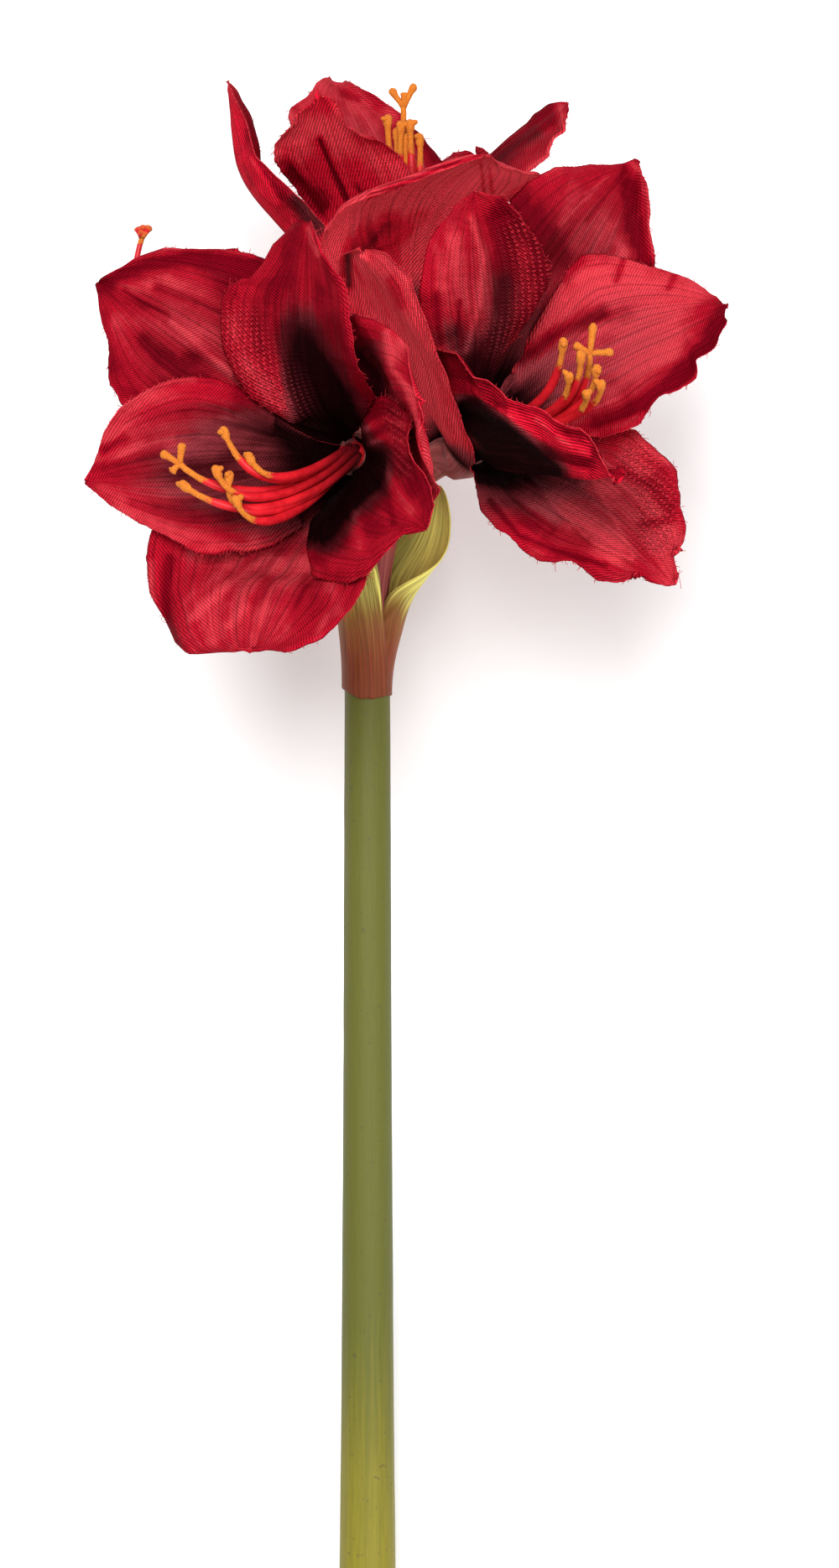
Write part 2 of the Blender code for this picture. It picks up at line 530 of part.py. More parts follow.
def add_rod(name, path, radii, resolution, colour, lying):
    """A round rod along a path with its own radius at each point, as a welded mesh."""
    curve = bpy.data.curves.new(name, "CURVE")
    curve.dimensions = "3D"
    curve.bevel_depth = MM
    curve.bevel_resolution = resolution
    curve.use_fill_caps = True
    spline = curve.splines.new("POLY")
    spline.points.add(len(path) - 1)
    for point, place, radius in zip(spline.points, path, radii):
        point.co = (*(place * MM), 1.0)
        point.radius = radius
    rod = bpy.data.objects.new(name, curve)
    bpy.context.scene.collection.objects.link(rod)
    graph = bpy.context.evaluated_depsgraph_get()
    mesh = bpy.data.meshes.new_from_object(rod.evaluated_get(graph))
    bpy.data.objects.remove(rod, do_unlink=True)
    bm = bmesh.new()
    bm.from_mesh(mesh)
    bmesh.ops.remove_doubles(bm, verts=bm.verts, dist=0.00001)
    bmesh.ops.recalc_face_normals(bm, faces=bm.faces)
    bm.to_mesh(mesh)
    bm.free()
    return add_object(name, mesh, colour, lying)


def join(body, pieces):
    """Adds pieces to a body with exact unions, then drops them."""
    for piece in pieces:
        union = body.modifiers.new("union", "BOOLEAN")
        union.operation = "UNION"
        union.solver = "EXACT"
        union.object = piece
        graph = bpy.context.evaluated_depsgraph_get()
        mesh = bpy.data.meshes.new_from_object(body.evaluated_get(graph))
        body.modifiers.clear()
        body.data = mesh
        bpy.data.objects.remove(piece, do_unlink=True)


def stand_on(obj, place, axis):
    """Puts a piece that was made about z onto a place, facing along an axis."""
    obj.rotation_mode = "QUATERNION"
    obj.rotation_quaternion = Vector((0.0, 0.0, 1.0)).rotation_difference(Vector(axis))
    obj.location = Vector(place) * MM


def add_pedicel(name, bloom, lying):
    """Stalk of one bloom, with the cup that holds its petals on its end."""
    axis, throat = unit(bloom["axis"]), np.array(bloom["throat"], float)
    x, y = PEDICEL_START[name]
    low = np.array([x, y, STEM_TOP + 0.4])
    neck = throat + NECK * axis
    lead = neck - PEDICEL_LEAD[name] * axis + np.array(PEDICEL_BEND[name])
    path = bezier((low, low + np.array([0.0, 0.0, PEDICEL_RISE]), lead, neck), 11)
    path = np.concatenate([path, [neck + 6.0 * axis]])
    grow = smooth((np.linspace(0, 1, len(path)) - 0.25) / 0.75)
    stalk = add_rod(f"{name}_stalk", path, PEDICEL_RADIUS + (NECK_RADIUS - PEDICEL_RADIUS) * grow, 4,
                    "pedicel_brown", lying)
    inside = CUP_RADIUS - CUP_WALL
    profile = [(0.0, CUP_FLOOR), (inside, CUP_FLOOR), (inside, CUP_RIM), (CUP_RADIUS, CUP_RIM),
               (CUP_RADIUS, CUP_FLOOR), *CUP_UNDERSIDE, (0.0, NECK)]
    cup = add_turned(f"{name}_pedicel", profile, False, 20, "pedicel_brown", lying)
    stand_on(cup, throat, axis)
    join(cup, [stalk])


# Stamens, as the camera sees them, in the photograph's pixels: for each filament, and for the style, the two
# points that draw its curve and its end. depth is the y of the ends (mm), lead the shares of the way there
# at which the two points stand.
STAMENS = {
    "left": dict(
        lead=(0.75, 1.0), depth=-101, style=((366, 590), (270, 606), (214, 553)),
        strands=[((366, 574), (300, 598), (267, 515)), ((372, 566), (318, 588), (297, 545)),
                 ((364, 594), (276, 618), (258, 561)), ((366, 612), (262, 642), (273, 568)),
                 ((370, 600), (290, 632), (219, 579)), ((368, 616), (296, 648), (282, 596))]),
    "right": dict(
        lead=(0.35, 0.68), depth=-72, style=((590, 504), (706, 521), (703, 421)),
        strands=[((586, 497), (664, 506), (671, 409)), ((588, 503), (680, 512), (678, 449)),
                 ((592, 500), (694, 515), (692, 424)), ((597, 504), (708, 516), (711, 440)),
                 ((602, 498), (720, 511), (716, 459)), ((594, 506), (700, 520), (699, 470))]),
    "top": dict(
        lead=(0.45, 0.9), depth=34, style=((486, 300), (481, 200), (481, 128)),
        strands=[((480, 300), (464, 215), (462, 143)), ((484, 300), (472, 215), (473, 158)),
                 ((490, 300), (492, 215), (489, 148)), ((494, 300), (504, 220), (500, 165)),
                 ((487, 300), (485, 220), (483, 165)), ((477, 300), (476, 220), (478, 150))]),
    "rear": dict(
        lead=(0.45, 0.9), depth=100, style=((322, 468), (120, 442), (169, 284)),
        strands=[((338, 436), (224, 414), (217, 345)), ((346, 422), (248, 392), (243, 338)),
                 ((342, 430), (236, 400), (230, 326)), ((335, 444), (212, 426), (205, 332)),
                 ((328, 462), (188, 454), (179, 338)), ((331, 453), (200, 440), (192, 350))]),
}


def filament(bloom, name, number):
    """Path and radii of one filament, which ends in a knob; the last of a bloom's seven is its style."""
    plan = STAMENS[name]
    axis, throat = unit(bloom["axis"]), np.array(bloom["throat"], float)
    around = unit(np.cross(axis, (0.3, 0.2, 0.9)))
    above = np.cross(around, axis)
    first, second, end = (plan["strands"] + [plan["style"]])[number]
    turn = math.radians(60.0 * number)
    nearer = np.array(plan["lead"]) * (plan["depth"] - throat[1])
    depths = throat[1] + nearer + FILAMENT_SPREAD * math.cos(turn)
    root = throat + (SEAT - 1.0) * axis
    if number < len(plan["strands"]):
        root = root + FILAMENT_RING * (math.cos(turn) * around + math.sin(turn) * above)
    tip = seen(end, plan["depth"] + 3.0 * math.sin(2.3 * number))
    path = bezier((root, seen(first, depths[0]), seen(second, depths[1]), tip), 9)
    rise = unit(path[-1] - path[-2])
    return np.concatenate([path, [tip + length * rise for length in FILAMENT_KNOB]]), FILAMENT_RADII


def add_stamens(name, bloom, lying):
    """Moulded hub with its filaments, joined into one body."""
    axis, throat = unit(bloom["axis"]), np.array(bloom["throat"], float)
    low, high = CUP_FLOOR + 0.4, SEAT + 0.9
    profile = [(0.0, high), (HUB_RADIUS, high), (HUB_RADIUS, low), (0.0, low)]
    hub = add_turned(f"{name}_stamens", profile, False, 14, "stamen_red", lying)
    stand_on(hub, throat, axis)
    rods = [add_rod(f"{name}_filament_{number}", *filament(bloom, name, number), 1, "stamen_red", lying)
            for number in range(len(STAMENS[name]["strands"]) + 1)]
    join(hub, rods)


def add_stem(lying):
    """Hollow moulded stem with a steel wire through its bore."""
    profile = [(BORE_RADIUS, STEM_TOP), (STEM_RADIUS_COLLAR, STEM_TOP), (STEM_RADIUS_COLLAR, COLLAR_BOTTOM),
               (10.1, -200.0), (11.0, -350.0), (STEM_RADIUS_END, STEM_END + 0.5),
               (STEM_RADIUS_END - 0.5, STEM_END), (BORE_RADIUS, STEM_END)]
    add_turned("stem", profile, True, 24, "stem_green", lying)
    length = STEM_TOP - STEM_END - 2 * WIRE_RECESS
    bm = bmesh.new()
    bmesh.ops.create_cone(bm, cap_ends=True, segments=10, radius1=WIRE_RADIUS * MM, radius2=WIRE_RADIUS * MM,
                          depth=length * MM)
    mesh = bpy.data.meshes.new("stem_wire")
    bm.to_mesh(mesh)
    bm.free()
    wire = add_object("stem_wire", mesh, "wire_steel", lying)
    wire.location.z = (STEM_TOP + STEM_END) / 2 * MM


def bract_surface(spec, rows=9, cols=6):
    """Middle surface of one bract: half a collar round the stem that opens into a leaf."""
    facing = math.radians(spec["turn"])
    radial = np.array([math.sin(facing), -math.cos(facing), 0.0])
    across = np.cross((0.0, 0.0, 1.0), radial)
    root = np.array([0.0, 0.0, COLLAR_BOTTOM])
    tip = np.array(spec["tip"], float)
    s = np.linspace(0, 1, rows + 1)
    radius = spec["radius"]
    start = root + radius * radial
    height = np.array([0.0, 0.0, tip[2] - COLLAR_BOTTOM])
    mid = bezier((start, start + 0.42 * height, tip - 0.45 * height, tip), rows + 1)
    ahead = unit(np.gradient(mid, axis=0))
    side = unit(across - ahead * (ahead @ across)[:, None])
    inward = np.cross(ahead, side)
    points = np.zeros((rows + 1, cols + 1, 3))
    open_up = smooth((s - 0.35) / 0.5)
    for j, lane in enumerate(np.linspace(-1, 1, cols + 1)):
        wide = spec["half"][0 if lane > 0 else 1]
        half = radius * math.radians(87.5) * (1 - open_up) + wide * open_up
        half = half * np.clip(1 - np.clip((s - 0.55) / 0.45, 0, 1) ** 2, 0.01, 1) ** 0.6
        bend = (half / radius) * (1 - open_up) + math.radians(45) * open_up
        angle = bend * abs(lane)
        x = half / bend * np.sin(angle) * np.sign(lane)
        z = half / bend * (1 - np.cos(angle))
        points[:, j] = mid + x[:, None] * side + z[:, None] * inward
    return points


def main():
    clear_scene()
    bpy.context.scene.collection.children.link(bpy.data.collections.new(COLLECTION))
    lying = lying_empty()
    add_stem(lying)
    for name, spec in BRACTS.items():
        add_sheet(name, bract_surface(spec), BRACT_THICKNESS, "bract_green", lying)
    for name, bloom in BLOOMS.items():
        add_pedicel(name, bloom, lying)
        add_stamens(name, bloom, lying)
    for name, points in all_petals().items():
        add_sheet(name, cad_grid(points), PETAL_THICKNESS, "petal_red", lying)


if __name__ == "__main__":
    main()
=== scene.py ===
"""Looks of an artificial amaryllis stem: dyed twill petals, moulded stamens, bracts, stalks and stem.

Shapes are worked out in millimetres in the stem frame, in which the stem stands upright: x to the
right, y away from the viewer, z up. LYING turns that frame onto the floor, where the flower rests.
"""

import math

import bpy
import numpy as np
from mathutils import Euler, Matrix, Vector
from mathutils.bvhtree import BVHTree


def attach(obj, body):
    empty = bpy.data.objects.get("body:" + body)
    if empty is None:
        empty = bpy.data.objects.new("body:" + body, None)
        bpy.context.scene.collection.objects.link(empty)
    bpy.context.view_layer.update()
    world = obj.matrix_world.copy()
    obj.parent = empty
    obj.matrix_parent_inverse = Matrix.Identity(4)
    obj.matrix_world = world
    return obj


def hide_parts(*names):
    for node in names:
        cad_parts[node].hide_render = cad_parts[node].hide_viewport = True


bl_info = {
    "name": "Artificial Amaryllis Stem",
    "version": (1, 0, 0),
    "blender": (4, 5, 0),
    "location": "View3D > Sidebar > Amaryllis",
    "description": "Builds the cloth blooms, moulded stamens, bracts and stem of an artificial amaryllis",
    "category": "Add Mesh",
}

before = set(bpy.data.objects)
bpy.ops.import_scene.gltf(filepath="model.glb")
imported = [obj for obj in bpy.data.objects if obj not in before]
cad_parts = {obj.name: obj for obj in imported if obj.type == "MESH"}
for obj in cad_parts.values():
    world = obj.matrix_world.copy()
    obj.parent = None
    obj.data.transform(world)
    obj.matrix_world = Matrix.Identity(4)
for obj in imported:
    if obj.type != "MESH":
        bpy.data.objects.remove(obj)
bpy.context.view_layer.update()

MM = 0.001
LIE_TILT = math.radians(11.295)
LIE_ROLL = math.radians(0.574)
LIE_SHIFT = Vector((-18.26, 121.17, 107.84)) * MM
LYING = Matrix.Translation(LIE_SHIFT) @ Euler((LIE_TILT - math.pi / 2, LIE_ROLL, 0.0)).to_matrix().to_4x4()

# Stem, bracts and stalks (mm, stem frame)
STEM_END = -489.0
STEM_TOP = -22.0
STEM_RADII = ((-489.0, 12.4), (-350.0, 11.0), (-200.0, 10.1), (-50.5, 9.5), (-22.0, 9.5))
COLLAR_BOTTOM = -50.5
SEAT = -5.6
CUP_RIM = -6.3
CUP_FLOOR = -10.3
CUP_RADIUS = 10.6
CUP_WALL = 1.3
NECK = -18.0
NECK_RADIUS = 5.3
PEDICEL_RADIUS = 3.7
FLOOR_GAP = 0.3 * MM

# Petals
PETAL_GAP = 2.8
RING = {"in": 7.2, "out": 8.6}
CLAW = 6.6
SHARE = {"in": (60, 60), "out": (80, 80)}
FINE_ROWS, FINE_COLS = 40, 24
COARSE_ROWS = (0, 5, 10, 15, 20, 26, 32, 37, 40)
COARSE_COLS = (0, 3, 6, 9, 12, 15, 18, 21, 24)
TUCK_REACH = 24.0
TUCK_STEP = 9.0
TUCK_ROUNDS = 5
POKE_REACH = 7.0
POKE_GAP = 1.6
SPREAD_ROUNDS = 40
SOFT_ROUNDS = 24

# Each bloom: its throat, the way it faces, and its petals, innermost first. A petal has its tip, its half
# widths on its two sides, how far along each is widest, how pointed each end is (0.25 blunt, 1 sharp), and
# the turn, cup and curl (degrees) of its blade; bow shifts its midrib sideways. Its tone paints light over
# the whole blade when above 0 and shade when below 0.
PETAL = dict(ring="in", half=(38, 38), widest=(0.55, 0.55), point=(0.55, 0.55), arch=0.45, back=0.35,
             flare=28, start=4, roll=0, cup=(20, 20), curl=(0, 0), bow=0, ruffle=(1.5, 1.5), waves=2.0,
             phase=(0.0, 0.5), claw=CLAW, wrap=1.25, dark=0.3, narrow=0.6, rose=0.5, painted_tone=0.0)
BLOOMS = {
    "left": dict(throat=(-9, -45, 50), axis=(-0.58, -0.80, 0.14), petals=[
        dict(tip=(-23, -95, 139), half=(46, 38), roll=-10, widest=(0.52, 0.55), point=(1.05, 0.6), dark=0.56,
             narrow=0.55, rose=0.1, painted_tone=-0.4),
        dict(tip=(-115, -50, 38), half=(40, 37), widest=(0.5, 0.62), point=(0.9, 0.65), bow=5, dark=0.66,
             rose=1.0),
        dict(tip=(24, -140, 14), half=(36, 46), widest=(0.5, 0.42), point=(0.6, 0.8), cup=(50, -18), start=45,
             arch=0.33, roll=-22, dark=0.6, narrow=0.45, rose=0.0, painted_tone=-0.5),
        dict(ring="out", tip=(-111, -25, 122), half=(38, 45), widest=(0.62, 0.5), point=(1.0, 0.6), bow=-4,
             curl=(0, -40), painted_tone=-0.15),
        dict(ring="out", tip=(-46, -105, -34), half=(58, 52), widest=(0.66, 0.66), point=(0.25, 0.25),
             cup=(-8, 12),
             flare=34),
        dict(ring="out", tip=(24, -141, 64), half=(46, 27), widest=(0.6, 0.55)),
    ]),
    "right": dict(throat=(44, -11, 57), axis=(0.51, -0.63, 0.58), petals=[
        dict(tip=(44, -70, 154), half=(38, 26), roll=-50),
        dict(tip=(151, -5, 115), half=(38, 35), point=(0.7, 0.6), dark=0.42, rose=0.7, painted_tone=0.4),
        dict(tip=(99, -109, 37), half=(38, 44), widest=(0.5, 0.36), point=(0.55, 0.9), cup=(60, 62), start=18,
             share=(60, 130), wrap=1.7, claw=10, painted_tone=-0.5),
        dict(ring="out", tip=(125, -62, -5), half=(40, 34), widest=(0.45, 0.5), start=42, roll=25, arch=0.35,
             cup=(25, -25), claw=19, dark=0.38, narrow=0.35, rose=0.8),
        dict(ring="out", tip=(115, 22, 177), half=(34, 28), widest=(0.5, 0.45), point=(0.7, 0.9), dark=0.4,
             rose=0.9, painted_tone=-0.1),
        dict(ring="out", tip=(-3, -76, 127), half=(36, 46), widest=(0.5, 0.42), start=62, roll=30, arch=0.35,
             cup=(25, -35), claw=8, share=(80, 95), bow=4, painted_tone=0.35, rose=0.0),
    ]),
    "top": dict(throat=(16, 45, 118), axis=(-0.03, -0.05, 1.0), petals=[
        dict(tip=(-19, -20, 200), half=(27, 36), widest=(0.45, 0.6), point=(1.3, 0.9), bow=-6, painted_tone=0.3,
             rose=0.0),
        dict(tip=(-14, 100, 221), half=(38, 30), widest=(0.6, 0.5), point=(0.8, 1.2), painted_tone=0.4),
        dict(tip=(85, 40, 204), half=(26, 32), roll=30, cup=(20, 10)),
        dict(ring="out", tip=(51, -50, 171), half=(40, 62), widest=(0.55, 0.4), point=(0.7, 0.8),
             cup=(20, -25),
             share=(80, 100), painted_tone=0.8, rose=0.0),
        dict(ring="out", tip=(-60, 55, 215), half=(48, 34), widest=(0.45, 0.5), start=55, flare=-20,
             cup=(65, 20), painted_tone=0.4),
        dict(ring="out", tip=(48, 148, 194), half=(30, 32), flare=18),
    ]),
    "rear": dict(throat=(-15, 45, 75), axis=(-0.62, 0.70, 0.35), petals=[
        dict(tip=(-58, 99, 148), half=(29, 27), flare=15, arch=0.5),
        dict(tip=(-52, 127, 84), half=(28, 30), flare=14, arch=0.5),
        dict(tip=(-106, 88, 90), half=(27, 28), flare=12, arch=0.5),
        dict(ring="out", tip=(-29, 121, 128), half=(32, 33), flare=20, start=10),
        dict(ring="out", tip=(-80, 106, 52), half=(34, 32), flare=26, start=10),
        dict(ring="out", tip=(-94, 71, 128), half=(32, 31), flare=20, start=10),
    ]),
}
PEDICEL_START = {"left": (-3.8, -3.8), "right": (3.8, -3.8), "top": (3.8, 3.8), "rear": (-3.8, 3.8)}
PEDICEL_LEAD = {"left": 30, "right": 30, "top": 34, "rear": 18}
PEDICEL_BEND = {"right": (-4, 6, 9.5), "top": (7, -4, 0)}
NECK_SWELL = {"right": 2.6}
NECK_LEAN = {"right": (-5.0, 0.0, 4.0)}
BRACTS = {
    "bract_front": dict(tip=(-14, -16, 42), half=(17, 15), wrap=(96, 96), turn=-44, radius=10.5, opens=0.36),
    "bract_back": dict(tip=(30, 22, 40), half=(31, 17), wrap=(110, 130), turn=136, radius=10.0, opens=0.3),
}

# The photograph's camera, in the stem frame: how far it stands from the stem's axis, where it points (mm),
# the pixel that it points at, and the pixels in a millimetre at the stem's axis
PHOTO_DISTANCE = 2200.0
PHOTO_CENTRE = (21.75, -86.0)
PHOTO_MIDDLE = (500, 935)
PHOTO_SCALE = 2.85
PHOTO_HEIGHT = 1870
SENSOR = 36.0
LENS = PHOTO_DISTANCE * PHOTO_SCALE / PHOTO_HEIGHT * SENSOR
CAMERA_PLACE = Vector((PHOTO_CENTRE[0], -PHOTO_DISTANCE, PHOTO_CENTRE[1])) * MM

# Stamens, as the camera sees them, in the photograph's pixels: for each filament, and for the style, the two
# points that draw its curve and its end, and the ends of the style's arms. depth is the y of the ends (mm),
# lead the shares of the way there at which the two points stand, and dip how far the orange flock reaches
# down (mm).
STAMENS = {
    "left": dict(
        dip=12, lead=(0.75, 1.0), depth=-101, style=((366, 590), (270, 606), (214, 553)),
        arms=[(194, 541), (217, 531), (205, 562)],
        strands=[((366, 574), (300, 598), (267, 515)), ((372, 566), (318, 588), (297, 545)),
                 ((364, 594), (276, 618), (258, 561)), ((366, 612), (262, 642), (273, 568)),
                 ((370, 600), (290, 632), (219, 579)), ((368, 616), (296, 648), (282, 596))]),
    "right": dict(
        dip=11, lead=(0.35, 0.68), depth=-72, style=((590, 504), (706, 521), (703, 421)),
        arms=[(707, 389), (728, 420), (686, 412)],
        strands=[((586, 497), (664, 506), (671, 409)), ((588, 503), (680, 512), (678, 449)),
                 ((592, 500), (694, 515), (692, 424)), ((597, 504), (708, 516), (711, 440)),
                 ((602, 498), (720, 511), (716, 459)), ((594, 506), (700, 520), (699, 470))]),
    "top": dict(
        dip=12, lead=(0.45, 0.9), depth=34, style=((486, 300), (481, 200), (481, 128)),
        arms=[(467, 108), (493, 103), (482, 112)],
        strands=[((480, 300), (464, 215), (462, 143)), ((484, 300), (472, 215), (473, 158)),
                 ((490, 300), (492, 215), (489, 148)), ((494, 300), (504, 220), (500, 165)),
                 ((487, 300), (485, 220), (483, 165)), ((477, 300), (476, 220), (478, 150))]),
    "rear": dict(
        dip=3, arm_dip=0.5, lead=(0.45, 0.9), depth=100, style=((322, 468), (120, 442), (169, 284)),
        arms=[(164, 272), (178, 271), (171, 270)],
        strands=[((338, 436), (224, 414), (217, 345)), ((346, 422), (248, 392), (243, 338)),
                 ((342, 430), (236, 400), (230, 326)), ((335, 444), (212, 426), (205, 332)),
                 ((328, 462), (188, 454), (179, 338)), ((331, 453), (200, 440), (192, 350))]),
}

# Folds of the cloth and the light and shade painted along them, in the photograph's pixels: tone of the
# painted light (-1 painted shade, 1 painted highlight), width, height towards the camera (mm) and the line
# along which each runs
FOLD_SHAPES_AND_PAINTED_LIGHT = {
    "left_petal_1": [
        (-0.2, 34, 0.0, [(345, 285), (310, 335), (330, 360)]),
        (0.8, 20, 1.5, [(276, 385), (290, 430), (330, 475), (360, 510)]),
        (-0.5, 20, -2.0, [(345, 400), (358, 440), (376, 480)]),
        (1.0, 5, 0.0, [(367, 272), (372, 288), (379, 302)]),
        (-0.5, 20, 0.0, [(392, 390), (405, 440)])],
    "left_petal_2": [
        (0.5, 14, 0.0, [(112, 552), (128, 508), (165, 474), (225, 452)]),
        (-0.9, 6, -1.0, [(124, 537), (148, 524)]),
        (0.6, 5, 0.8, [(130, 552), (165, 532), (205, 522)]),
        (-0.6, 7, -0.8, [(112, 560), (150, 553), (190, 541)]),
        (0.5, 16, 0.0, [(115, 580), (200, 628), (300, 650)]),
        (-0.3, 10, -0.8, [(160, 600), (230, 618), (290, 640)])],
    "left_petal_3": [
        (0.45, 9, 2.0, [(432, 560), (421, 600), (428, 655)]),
        (-0.6, 22, -2.0, [(415, 570), (392, 610), (384, 640)]),
        (0.7, 5, 0.6, [(436, 512), (460, 500), (482, 508)]),
        (0.5, 4, 0.5, [(440, 530), (462, 520), (478, 526)]),
        (0.5, 7, 0.0, [(455, 550), (470, 580), (490, 610)]),
        (-0.6, 5, -0.8, [(446, 560), (462, 600), (470, 625)])],
    "left_petal_4": [
        (0.9, 7, 1.0, [(125, 326), (160, 305), (205, 296), (300, 301)]),
        (-1.0, 12, -2.0, [(122, 338), (175, 317), (232, 307), (305, 322)]),
        (-0.8, 26, 0.0, [(262, 325), (300, 340)]),
        (0.6, 14, 1.0, [(150, 346), (200, 335), (240, 352)]),
        (-0.6, 5, -0.6, [(188, 344), (235, 361), (262, 372)]),
        (-0.8, 3, -0.8, [(148, 346), (171, 362), (200, 374)]),
        (0.6, 16, 0.8, [(140, 382), (190, 393), (225, 402)]),
        (0.9, 4, 1.2, [(205, 385), (238, 414), (276, 446)]),
        (-1.0, 9, -2.0, [(171, 405), (188, 422), (214, 438), (226, 428)]),
        (-0.4, 30, 0.0, [(185, 410), (225, 450)]),
        (-0.5, 7, 0.0, [(124, 375), (133, 440), (143, 472)])],
    "left_petal_5": [
        (-1.0, 7, -3.0, [(203, 668), (197, 707), (200, 745), (212, 772)]),
        (0.6, 6, 1.0, [(181, 672), (182, 722)]),
        (0.7, 6, 1.2, [(322, 664), (262, 705), (230, 737)]),
        (0.6, 5, 1.0, [(334, 668), (292, 720), (272, 747)]),
        (-0.5, 8, -0.8, [(318, 692), (303, 716)]),
        (-0.5, 7, -0.8, [(365, 690), (352, 722)]),
        (0.4, 9, 0.8, [(395, 696), (404, 728)]),
        (0.3, 16, 0.0, [(225, 755), (300, 765), (350, 755)])],
    "left_petal_6": [
        (0.9, 5, 1.5, [(461, 398), (466, 440), (488, 466), (497, 500), (519, 578)]),
        (-0.9, 17, -1.5, [(438, 412), (450, 470)])],
    "right_petal_1": [
        (0.5, 17, 2.0, [(540, 290), (541, 340), (545, 380)]),
        (-0.6, 22, 0.0, [(552, 395), (566, 430)]),
        (0.5, 5, 2.6, [(562, 262), (576, 310), (572, 362), (556, 420)]),
        (-0.8, 5, -1.0, [(520, 352), (524, 409)]),
        (-0.9, 3, -0.8, [(548, 359), (546, 398)]),
        (-0.8, 14, -3.0, [(592, 262), (606, 330), (596, 390), (578, 430)]),
        (-0.9, 14, 0.0, [(600, 240), (640, 298), (652, 340), (630, 392)])],
    "right_petal_2": [
        (0.7, 34, 0.0, [(720, 335), (800, 375), (775, 430)]),
        (-0.5, 5, -1.6, [(692, 310), (673, 334)]),
        (-0.4, 4, -1.4, [(744, 306), (735, 335)]),
        (-0.4, 4, -1.4, [(806, 324), (797, 344)]),
        (-0.9, 9, -2.0, [(718, 374), (657, 400), (620, 428)]),
        (0.4, 5, 1.2, [(720, 386), (665, 412)]),
        (-1.3, 15, -4.0, [(866, 372), (843, 412), (808, 448), (766, 482), (716, 506)]),
        (0.5, 4, 0.8, [(766, 494), (706, 517)])],
    "right_petal_3": [
        (-0.2, 14, 0.0, [(530, 430), (575, 468), (630, 500), (690, 530), (722, 556)]),
        (0.3, 7, 5.0, [(542, 476), (586, 494), (604, 496), (631, 523), (652, 550), (697, 566)]),
        (0.6, 5, 1.4, [(640, 500), (680, 533), (700, 540)]),
        (-0.5, 4, -1.2, [(662, 515), (690, 520)])],
    "right_petal_4": [
        (0.5, 3, 2.5, [(628, 566), (662, 605), (707, 648), (753, 668)]),
        (0.7, 11, 0.0, [(655, 580), (690, 618), (735, 655)]),
        (-0.5, 15, -2.0, [(600, 575), (640, 625), (690, 655)]),
        (-0.2, 8, 1.5, [(574, 598), (602, 637), (645, 663), (690, 673), (742, 684)]),
        (-0.8, 4, -1.5, [(584, 598), (618, 638), (660, 655), (722, 674)]),
        (0.5, 3, 1.0, [(706, 573), (735, 625), (755, 664)]),
        (0.6, 24, 0.0, [(745, 548), (785, 590), (790, 650)]),
        (-0.6, 6, -1.5, [(735, 560), (775, 578), (800, 610)]),
        (-0.6, 5, -1.5, [(765, 625), (800, 620)])],
    "right_petal_5": [
        (0.3, 34, 0.0, [(680, 240), (710, 240), (700, 280)]),
        (-0.8, 24, 0.0, [(622, 245), (650, 290)]),
        (-1.0, 13, -3.0, [(748, 220), (755, 262), (766, 304)]),
        (-0.5, 4, -1.0, [(745, 205), (700, 262)]),
        (0.5, 4, 1.0, [(722, 212), (668, 268)]),
        (0.7, 5, 2.0, [(748, 192), (765, 206), (772, 250), (778, 306)]),
        (0.6, 8, 1.0, [(736, 288), (744, 300)])],
    "right_petal_6": [
        (0.5, 30, 0.0, [(450, 320), (500, 420), (545, 530)]),
        (-0.7, 5, 0.0, [(415, 303), (416, 340)]),
        (0.5, 5, 2.0, [(432, 305), (445, 350), (490, 430), (515, 500)]),
        (-0.4, 8, -1.0, [(467, 335), (478, 362)])],
    "top_petal_1": [
        (0.6, 26, 0.0, [(400, 150), (440, 185), (470, 205)]),
        (-1.0, 4, -1.6, [(381, 166), (393, 194), (415, 242)]),
        (-0.9, 12, 0.0, [(345, 208), (385, 244)]),
        (-0.6, 4, -0.8, [(425, 222), (438, 240)]),
        (0.5, 5, 0.8, [(352, 150), (334, 165), (333, 190)])],
    "top_petal_2": [
        (0.4, 20, 0.0, [(400, 105), (450, 140)]),
        (-0.8, 14, 0.0, [(490, 150), (520, 188)]),
        (-0.5, 5, -1.0, [(410, 112), (425, 118)])],
    "top_petal_5": [
        (-0.6, 26, 0.0, [(285, 130), (310, 185), (345, 240)]),
        (0.5, 3, 1.0, [(300, 190), (330, 240)]),
        (-0.5, 9, 0.0, [(292, 115), (312, 150), (332, 178)])],
    "top_petal_3": [
        (-1.0, 16, 0.0, [(590, 185), (630, 155), (650, 135)]),
        (0.8, 5, 1.5, [(668, 128), (672, 155), (660, 168), (655, 190), (632, 203)])],
    "top_petal_4": [
        (0.6, 17, 0.0, [(450, 238), (520, 215), (580, 205)]),
        (-0.9, 18, -1.5, [(465, 268), (425, 300)]),
        (-0.8, 3, -0.8, [(572, 186), (529, 198), (480, 219), (440, 234)]),
        (-0.7, 2, -0.8, [(573, 195), (577, 230)]), (-0.6, 2, -0.8, [(583, 200), (586, 228)]),
        (0.5, 3, 0.8, [(578, 195), (581, 230)]),
        (0.5, 9, 0.0, [(600, 212), (632, 209)])],
}
FOLD_SHAPES_AND_PAINTED_LIGHT["bract_back"] = [
    (-1.0, 15, 0.0, [(452, 700), (478, 655), (500, 610)]),
    (0.25, 12, 0.0, [(531, 625), (520, 665), (500, 708)]),
    (0.9, 3, 0.8, [(459, 742), (468, 729), (486, 710)])]
FOLD_SHAPES_AND_PAINTED_LIGHT["bract_front"] = [
    (-1.4, 70, 0.0, [(420, 690), (453, 716)]),
    (1.0, 3, 0.5, [(445, 680), (453, 716), (459, 742)])]
